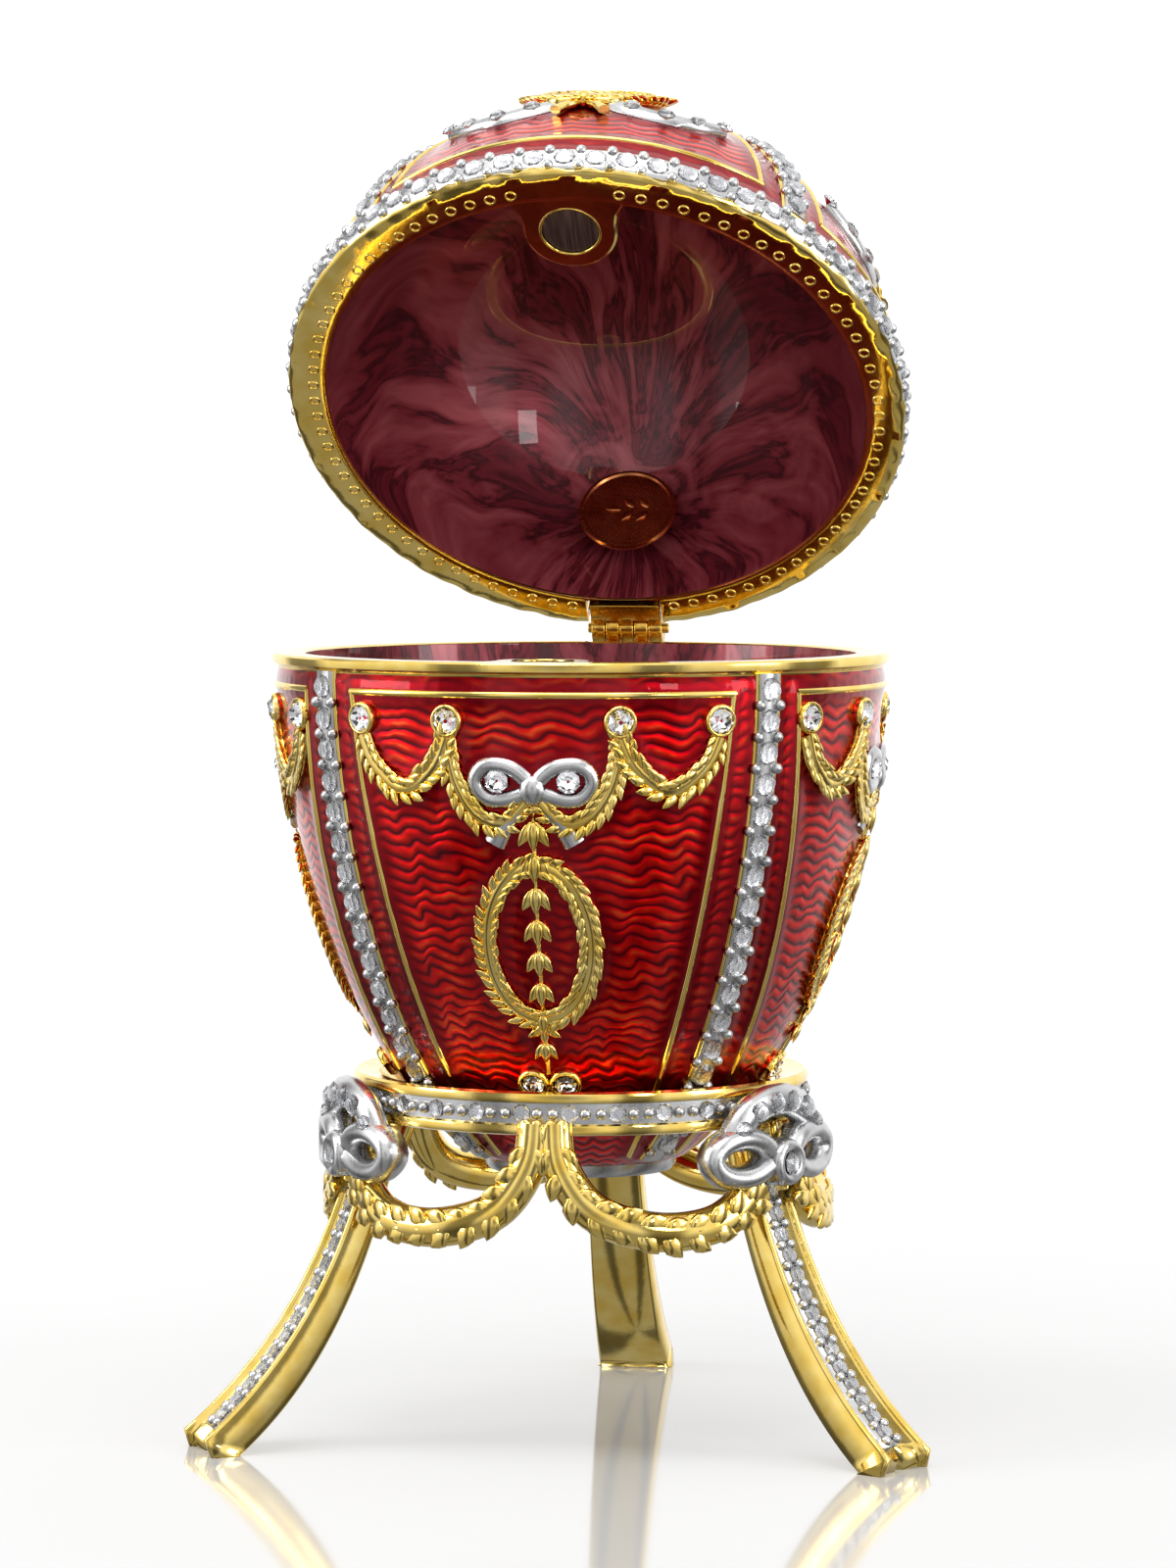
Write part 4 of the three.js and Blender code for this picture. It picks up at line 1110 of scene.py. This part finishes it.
# %% The plaque
PLAQUE_RADIUS, PLAQUE_RISE, PLAQUE_TILT = 5.2, math.radians(20), math.radians(8)
PLAQUE_THICK, PLAQUE_GAP = 0.7, 0.8
SPRIG = ((0, 0.6, 0), (0.2, -0.6, -0.9), (-0.2, -0.6, 0.9), (0.2, -2.2, -0.9), (-0.2, -2.2, 0.9))
disc = turn("plaque_disc", [
    (0, -0.35), (4.9, -0.35), (5.15, -0.2), (5.2, 0.05), (5.05, 0.32), (4.75, 0.35), (4.55, 0.18),
    (0, 0.18)], 96)
away = PLAQUE_RADIUS**2 / (2 * INNER_RADIUS) + PLAQUE_THICK / 2 + PLAQUE_GAP
away += PLAQUE_RADIUS * math.sin(PLAQUE_RISE - PLAQUE_TILT)
lean = Vector((0, math.cos(PLAQUE_TILT), math.sin(PLAQUE_TILT)))
wall_height = RIM_HEIGHT + INNER_RISE * math.sin(PLAQUE_RISE)
seat_point = Vector((0, INNER_RADIUS * math.cos(PLAQUE_RISE), wall_height)) - away * lean
facing = Matrix.Translation(seat_point) @ (-lean).to_track_quat("Z", "X").to_matrix().to_4x4()
sprig = []
for x, y, turned in SPRIG:
    leaf = Matrix.Translation((x, y, 0.2)) @ Matrix.Rotation(turned, 4, "Z")
    sprig.append(leaf @ Matrix.Scale(0.75, 4))
plaque = combine("plaque_disc", [disc, set_out("plaque_sprig", leaf_model, sprig)])
plaque.data.transform(facing)
settle(plaque, "lid", "gold_plate", copper_gold)
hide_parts("plaque")

# %% The hinge
KNUCKLE_RADIUS, KNUCKLE_WIDTH, KNUCKLE_PITCH = 1.7, 1.4, 1.52
LEAF_INSET, LEAF_BACK, LEAF_HIGH = 28.7, 30.95, 3.4
PIN_RADIUS, PIN_LONG = 0.55, 8.6


def bevelled(piece, edge):
    """Rounds the edges of a new piece, as a file would."""
    bevel = piece.modifiers.new("edge", "BEVEL")
    bevel.width, bevel.segments = edge, 2
    bpy.ops.object.modifier_apply(modifier=bevel.name)
    return smooth(piece, 50)


def rounded_block(size, place, edge=0.15):
    bpy.ops.mesh.primitive_cube_add(size=1, location=place, scale=size)
    bpy.ops.object.transform_apply(location=True, rotation=True, scale=True)
    return bevelled(bpy.context.object, edge)


def barrel(radius, width, x):
    """A round bar about the hinge's own axis."""
    bpy.ops.mesh.primitive_cylinder_add(
        vertices=40, radius=radius, depth=width, location=(x, PIN_BACK, PIN_HEIGHT),
        rotation=(0, math.pi / 2, 0))
    bpy.ops.object.transform_apply(location=True, rotation=True)
    return bevelled(bpy.context.object, 0.1)


def hinge_leaf(name, knuckles, rim, outward):
    """A leaf let into a rim, its knuckles, and a web from each knuckle to the leaf."""
    depth, web_front = LEAF_BACK - LEAF_INSET, LEAF_BACK - 0.4
    middle = rim + outward * (LEAF_HIGH / 2 + 0.05)
    pieces = [rounded_block((7.4, depth, LEAF_HIGH - 0.1), (0, LEAF_INSET + depth / 2, middle))]
    for place in knuckles:
        x = place * KNUCKLE_PITCH
        pieces.append(barrel(KNUCKLE_RADIUS, KNUCKLE_WIDTH, x))
        web = (x, (PIN_BACK + web_front) / 2, rim + outward * 0.7)
        pieces.append(rounded_block((KNUCKLE_WIDTH, PIN_BACK - LEAF_BACK + 0.4, 1.3), web, 0.08))
    return combine(name, pieces)


for name, knuckles, rim, outward, body, node in (
        ("hinge_leaf_of_bowl", (-1, 1), RIM_HEIGHT, -1, "base", "hinge_leaf_bowl"),
        ("hinge_leaf_of_lid", (-2, 0, 2), LID_FLOOR, 1, "lid", "hinge_leaf_lid")):
    leaf_piece = settle(hinge_leaf(name, knuckles, rim, outward), body, "hinge_brass", hinge_gold)
    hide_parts(node)
pin = barrel(PIN_RADIUS, PIN_LONG, 0)
pin.name = pin.data.name = "hinge_pin_rod"
settle(pin, "base", "hinge_brass", hinge_gold)
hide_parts("hinge_pin")
print("hinge: two leaves and a pin")

# %% [markdown]
# ## The stand
# The egg sits in a ring on three legs. The ring is turned with a channel between two lips, and the
# channel is silvered and set with stones, two beads between each.

# %% The ring
RING_RADIUS, RING_TOP, RING_LOW = 22.9, 36.6, 32.3
RING_CLEAR, RING_STONES = 1.55, 30
stand_gold, stand_silver, stand_stones, stand_beads = [], [], [], []
top_reach, low_reach = np.interp((RING_TOP, RING_LOW), bowl_skin.height, bowl_skin.radius) + RING_CLEAR
inner_face = [(top_reach, RING_TOP - 0.3), (top_reach - 0.1, RING_TOP - 0.6), (low_reach, RING_LOW + 0.2),
              (low_reach + 0.3, RING_LOW)]
low_lip = [(-0.5, 0), (-0.1, 0.15), (0, 0.5), (-0.1, 1.0), (-0.55, 1.2)]
top_lip = [(-0.6, -1.2), (-0.1, -1.05), (0, -0.6), (-0.1, -0.2), (-0.4, 0)]
outer_face = [(RING_RADIUS + x, RING_LOW + y) for x, y in low_lip] + [
    (RING_RADIUS + x, RING_TOP + y) for x, y in top_lip]
stand_gold.append(turn("stand_ring", inner_face + outer_face, 256))
stand_silver.append(turn("stand_channel", [
    (RING_RADIUS - 1.0, RING_LOW + 1.1), (RING_RADIUS - 0.45, RING_LOW + 1.1),
    (RING_RADIUS - 0.4, RING_TOP - 1.15), (RING_RADIUS - 1.0, RING_TOP - 1.15)], 192))
ring_skin = upright_skin(RING_RADIUS - 0.42, (RING_TOP + RING_LOW) / 2)
for n in range(RING_STONES):
    azimuth = 360 * (n + 0.5) / RING_STONES
    stand_stones.append(seat(ring_skin, azimuth, 0, 0, 0.1, 0.76))
    for step in (1, 2):
        stand_beads.append(ring_skin.spot(azimuth + step * 360 / RING_STONES / 3, 0, 0, 0.08))

# %% [markdown]
# A leg is lofted: its side view is two curves, front and back, and each section between them has a
# channel sunk in its front face. A boolean cut splits the toe.

# %% The legs
LEG_AZIMUTHS = (180, 300, 420)
LEG_TOP, LEG_FOOT = 5.4, 8.0
LEG_FRONT = ((22.6, 33.4), (26.6, 13.2), (40.9, 1.8))
LEG_BACK = ((19.6, 33.4), (24.2, 10.2), (37.2, 0))
TOE_FRONT = (40.3, 0)
CHANNEL_DEEP, CHANNEL_SHARE = 0.75, 0.775
LEG_STONES, STONES_FROM, STONES_SPAN = 14, 0.16, 0.78


def curve_point(curve, t):
    """The (reach, height) point t of the way down a curve through a start, a pull and an end."""
    start, pull, end = np.array(curve)
    return start * (1 - t) ** 2 + pull * 2 * t * (1 - t) + end * t**2


def leg_width(height):
    return LEG_FOOT + (LEG_TOP - LEG_FOOT) * min(1, max(0, height / 26)) ** 0.6


def leg_section(front, back):
    """One outline across the leg: a flat back, rounded sides and lips, and the channel in front."""
    half = leg_width(front[1]) / 2
    thick = float(np.linalg.norm(front - back))
    floor = thick - CHANNEL_DEEP
    side = [(1, 0.25), (1, thick - 0.35), (0.97, thick - 0.08), (0.9, thick), (0.82, thick - 0.04),
            (0.77, thick - 0.3), (0.76, floor)]
    outline = [(-0.9, 0), (0, -0.1), (0.9, 0)] + side + [(0, floor)] + [(-u, v) for u, v in side[::-1]]
    points = []
    for u, v in outline:
        reach, height = back + (front - back) * (v / thick)
        points.append((u * half, -reach, max(0.0, height)))
    return points


def leg(name):
    ends = [(curve_point(LEG_FRONT, t), curve_point(LEG_BACK, t)) for t in np.linspace(0, 1, 26)]
    ends.append((np.array(TOE_FRONT), np.array(LEG_BACK[-1])))
    piece = loft(name, [leg_section(front, back) for front, back in ends])
    wedge = [[(-2.3, -42.4, z), (2.3, -42.4, z), (0, -38.3 + 0.1 * z, z)] for z in (-1.0, 5.0)]
    return smooth(cut_away(piece, loft("toe_wedge", wedge)), 35)


def leg_place(t, across, lift):
    """A place on the floor of a leg's channel, t of the way down."""
    front, back = curve_point(LEG_FRONT, t), curve_point(LEG_BACK, t)
    onward = curve_point(LEG_FRONT, t + 0.01) - front
    down = Vector((0, -onward[0], onward[1])).normalized()
    sideways = Vector((1, 0, 0))
    outward = sideways.cross(-down).normalized()
    floor = front - (front - back) / np.linalg.norm(front - back) * CHANNEL_DEEP
    here = Vector((across, -floor[0], floor[1])) + outward * lift
    return Matrix.Translation(here) @ Matrix((sideways, -down, outward)).transposed().to_4x4()


leg_model = leg("leg_model")
strip_rows = []
for t in np.linspace(0.02, 0.96, 26):
    half = leg_width(curve_point(LEG_FRONT, t)[1]) / 2 * CHANNEL_SHARE
    corners = ((-1, -0.2), (1, -0.2), (1, 0.06), (0, 0.1), (-1, 0.06))
    strip_rows.append([tuple(leg_place(t, side * half, lift).translation) for side, lift in corners])
leg_strip = loft("leg_strip", strip_rows)
for azimuth in LEG_AZIMUTHS:
    spun = Matrix.Rotation(math.radians(azimuth), 4, "Z")
    stand_gold.append(set_out("leg", leg_model, [spun]))
    stand_silver.append(set_out("leg_strip", leg_strip, [spun]))
    for k in range(LEG_STONES):
        t = STONES_FROM + STONES_SPAN * (k + 0.5) / LEG_STONES
        turned = Matrix.Rotation(setter.uniform(0, math.pi), 4, "Z")
        tilted = turned @ Matrix.Rotation(setter.normal(0, 0.06), 4, "X")
        place = leg_place(t, setter.normal(0, 0.1), 0.2)
        stand_stones.append(spun @ place @ tilted @ Matrix.Scale(0.86, 4))
        gap = t + STONES_SPAN / LEG_STONES / 2
        for side in (-1, 1):
            stand_beads.append(spun @ leg_place(gap, side * 0.85 + setter.normal(0, 0.08), 0.12))

# %% [markdown]
# Over each leg lies a bow of satin silver ribbon, cast thick and round, with a stone in its knot and
# more along its upper arch. Laurel swags hang from bow to bow and meet under the ring in a cluster
# of leaves.

# %% Bows and swags
BOW_RADIUS, BOW_HEIGHT = 24.6, 29.4
ARCH_LINE, KNOT_LINE = BOW_HEIGHT - 0.6, BOW_HEIGHT - 0.4
SIDE_LOOP = [
    (1.4, 0.2), (3.0, 1.8), (5.6, 2.3), (7.9, 1.6), (8.7, 0.2), (7.4, -1.2), (4.8, -1.6), (2.4, -0.9)]
UPPER_ARCH = [(-6.4, 2.4), (-4.6, 4.8), (-2.0, 6.0), (0, 6.2), (2.0, 6.0), (4.6, 4.8), (6.4, 2.4)]
ARCH_STONES = [(-5.6, 3.6), (-3.6, 5.4), (-1.25, 6.1), (1.25, 6.1), (3.6, 5.4), (5.6, 3.6)]
SWAG = [
    (2.6, 33.6, -2.4), (4, 29.4, -1.8), (12, 25, -1.2), (27, 23, -0.6), (42, 23.6, -0.2), (54, 26.6, -0.4)]
CLUSTER = ((-2.2, 0.45), (2.2, -0.45), (-0.8, 0.12), (0.8, -0.12))
bow_skin = upright_skin(BOW_RADIUS, 0)
knot_model = turn("knot", [
    (0, -1.5), (2.2, -1.5), (2.35, -0.6), (2.35, 1.2), (2.1, 1.7), (1.6, 1.9), (1.25, 1.6), (0, 1.5)], 40)
swag_leaves = []


def stand_bow(azimuth):
    """Two loops beside the knot, an arch over it, and stones on the arch and the knot."""
    for side in (-1, 1):
        loop = flow([(side * x, BOW_HEIGHT + y) for x, y in SIDE_LOOP], 0.5, closed=True)
        stand_silver.append(bend("bow_loop", bow_skin, azimuth, loop, 2.5, 3.7, 0, PUFFED_SECTION, ring=True))
    arch = flow([(x, ARCH_LINE + y) for x, y in UPPER_ARCH], 0.5)
    stand_silver.append(bend("bow_arch", bow_skin, azimuth, arch, 3.3, 2.7, 0, PUFFED_SECTION))
    for x, y in ARCH_STONES:
        stand_stones.append(seat(bow_skin, azimuth, x, ARCH_LINE + y, 1.25, 0.95))
    stand_silver.append(set_out("bow_knot", knot_model, [bow_skin.spot(azimuth, 0, KNOT_LINE, 0.4)]))
    stand_stones.append(seat(bow_skin, azimuth, 0, KNOT_LINE, 2.1, 1.02))


def bay_swags(azimuth):
    """Two swags that meet between two legs, their leaves, and the cluster where they meet."""
    for side in (-1, 1):
        points = [(side * math.radians(degrees) * BOW_RADIUS, y, z) for degrees, y, z in SWAG]
        stand_gold.append(bend("swag", bow_skin, azimuth, flow(points, 0.7), 3.9, 3.2, 0, PUFFED_SECTION))
        places, ahead = flow(points, 2.5)
        for n, (place, way) in enumerate(zip(places[1:-1], ahead[1:-1])):
            heading = math.atan2(-way[0], way[1]) + 0.2 * math.sin(5 * n)
            for edge in (-1, 1):
                x, y = place[:2] + edge * 0.3 * np.array([way[1], -way[0]])
                spot = bow_skin.spot(azimuth, x, y, place[2] + 1.45, heading - edge * 0.55)
                lean = Matrix.Rotation(-0.12, 4, "X") @ Matrix.Diagonal((1.8, 1.2, 1.35, 1))
                swag_leaves.append(spot @ lean)
    for x, turned in CLUSTER:
        spot = bow_skin.spot(azimuth, x, 34.0, -1.2, math.pi + turned)
        swag_leaves.append(spot @ Matrix.Diagonal((1.5, 1.5, 1.6, 1)))


for azimuth in LEG_AZIMUTHS:
    stand_bow(azimuth)
    bay_swags(azimuth + 180)
stand_gold.append(set_out("swag_leaves", leaf_model, swag_leaves))
print("stand:", len(stand_stones), "stones,", len(swag_leaves), "leaves")

# %% Lay the stand in the frame
stand = settle(combine("stand_gold_parts", stand_gold), "base", "gold_plate", gold_plate)
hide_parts("stand")
settle(combine("stand_silver_parts", stand_silver), "base", "gold_plate", silver_plate)
settle(set_out("stand_beads", bead_model, stand_beads), "base", "gold_plate", silver_plate)
stand_stone_row = settle(set_out("stand_stones", stone_model, stand_stones), "base", "crystal")
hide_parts(*[name for name in frame["nodes"] if name.startswith("crystal_bow")])

# %% Put the models away
small = (stone_model, bead_model, setting_model, leaf_model)
for model in small + (ring_model, knot_model, leg_model, leg_strip):
    bpy.data.objects.remove(model)
shown = [piece for piece in bpy.context.scene.objects if piece.type == "MESH" and not piece.hide_render]
for piece in shown:
    piece.data.calc_loop_triangles()
    print(f"{piece.name:22}{len(piece.data.loop_triangles):8} triangles")
print("all:", sum(len(piece.data.loop_triangles) for piece in shown), "triangles")

# %% [markdown]
# ## The table, the light and the camera
# A product photographer lights jewellery in a white tent. The table is glossy white, big soft
# lights stand at the sides and above, and the tent is left dimmer near the camera so that gold has
# something dark to reflect beside its highlights. Four soft dark strips hang in the tent too, and
# draw dark lines down the metal.

# %% Table
bpy.ops.mesh.primitive_plane_add(size=8)
table = bpy.context.object
table.name = "table"
table.data.materials.append(new_material(
    "white_gloss_table", Base_Color=linear("#A6A6A6"), Roughness=0.08,
    Emission_Color=linear("#FFFFFF"), Emission_Strength=0.08))
table.visible_glossy = False

# %% Tent
STRIPS = ((-118, 0.028), (-38, 0.018), (38, 0.016), (104, 0.024))
STRIP_FADE = 0.02
world = bpy.data.worlds.new("white_tent")
world.use_nodes = True
bpy.context.scene.world = world
view = add_node(world, "TexCoord", out="Generated")
east, north, up = (add_node(world, "SeparateXYZ", {"Vector": view}, out=axis) for axis in "XYZ")
near = add_node(world, "MapRange", {"Value": north, "From Min": -1.0, "From Max": -0.94, "To Min": 0.3})
front = add_node(world, "MapRange", {"Value": north, "From Min": -0.4, "From Max": 0.6, "To Min": 0.9})
low = add_node(world, "MapRange", {"Value": up, "From Min": -0.45, "From Max": -0.05, "To Min": 0.3})
sides = add_node(world, "Math", {0: near, 1: front}, operation="MULTIPLY")
tent = add_node(world, "Math", {0: sides, 1: low}, operation="MULTIPLY")

stops = [(0.0, "#FFFFFF")]
for azimuth, half in STRIPS:
    middle = azimuth / 360 + 0.5
    stops += [(middle - half - STRIP_FADE, "#FFFFFF"), (middle - half, "#898989")]
    stops += [(middle + half, "#898989"), (middle + half + STRIP_FADE, "#FFFFFF")]
south = add_node(world, "Math", {0: north, 1: -1.0}, operation="MULTIPLY")
bearing = add_node(world, "Math", {0: east, 1: south}, operation="ARCTAN2")
around = add_node(world, "MapRange", {"Value": bearing, "From Min": -math.pi, "From Max": math.pi})
strips = add_node(world, "ValToRGB", {"Fac": around}, stops=stops + [(1.0, "#FFFFFF")])
roof = add_node(world, "MapRange", {"Value": up, "From Min": 0.5, "From Max": 0.8})
hung = add_node(world, "Math", {0: strips, 1: roof}, operation="MAXIMUM")
lit_tent = add_node(world, "Math", {0: tent, 1: hung}, operation="MULTIPLY")
seen = add_node(world, "LightPath", out="Is Camera Ray")
light = add_node(world, "Mix", {"Factor": seen, "A": lit_tent, "B": 1.05})
background = world.node_tree.nodes["Background"]
background.inputs["Color"].default_value = linear("#FFFFFF")
world.node_tree.links.new(light, background.inputs["Strength"])


# %% Lights
def softbox(name, azimuth, height, away, width, tall, watts):
    """A softbox on a stand, turned to the egg. Azimuth 0 is in front and 90 is on the right."""
    angle = math.radians(azimuth)
    bpy.ops.object.light_add(type="AREA", location=(away * math.sin(angle), -away * math.cos(angle), height))
    box = bpy.context.object
    box.name = box.data.name = name
    box.data.shape, box.data.size, box.data.size_y, box.data.energy = "RECTANGLE", width, tall, watts
    box.rotation_euler = (Vector((0, 0, 0.075)) - box.location).to_track_quat("-Z", "Y").to_euler()


softbox("left_box", -68, 0.30, 0.55, 0.24, 0.45, 1.6)
softbox("right_box", 74, 0.24, 0.55, 0.2, 0.45, 1.1)
softbox("top_box", -12, 0.75, 0.25, 0.5, 0.4, 2.2)
softbox("window_box", 40, 0.2, 0.6, 0.09, 0.15, 0.3)

# %% Camera
LENS, CAMERA_AWAY, CAMERA_HEIGHT, CAMERA_AZIMUTH, CAMERA_DOWN = 128.8, 563.1, 99.2, 8.89, 3.46
angle = math.radians(CAMERA_AZIMUTH)
stance = Vector((CAMERA_AWAY * math.sin(angle), AXIS_Y - CAMERA_AWAY * math.cos(angle), CAMERA_HEIGHT))
bpy.ops.object.camera_add(location=stance * MM, rotation=(math.radians(90 - CAMERA_DOWN), 0, angle))
camera = bpy.context.object
camera.data.lens, camera.data.sensor_width, camera.data.shift_x = LENS, 36, 0.0046
camera.data.clip_start = 0.01
scene = bpy.context.scene
scene.camera = camera
scene.view_settings.view_transform = "Standard"
scene.view_settings.exposure = 0.3
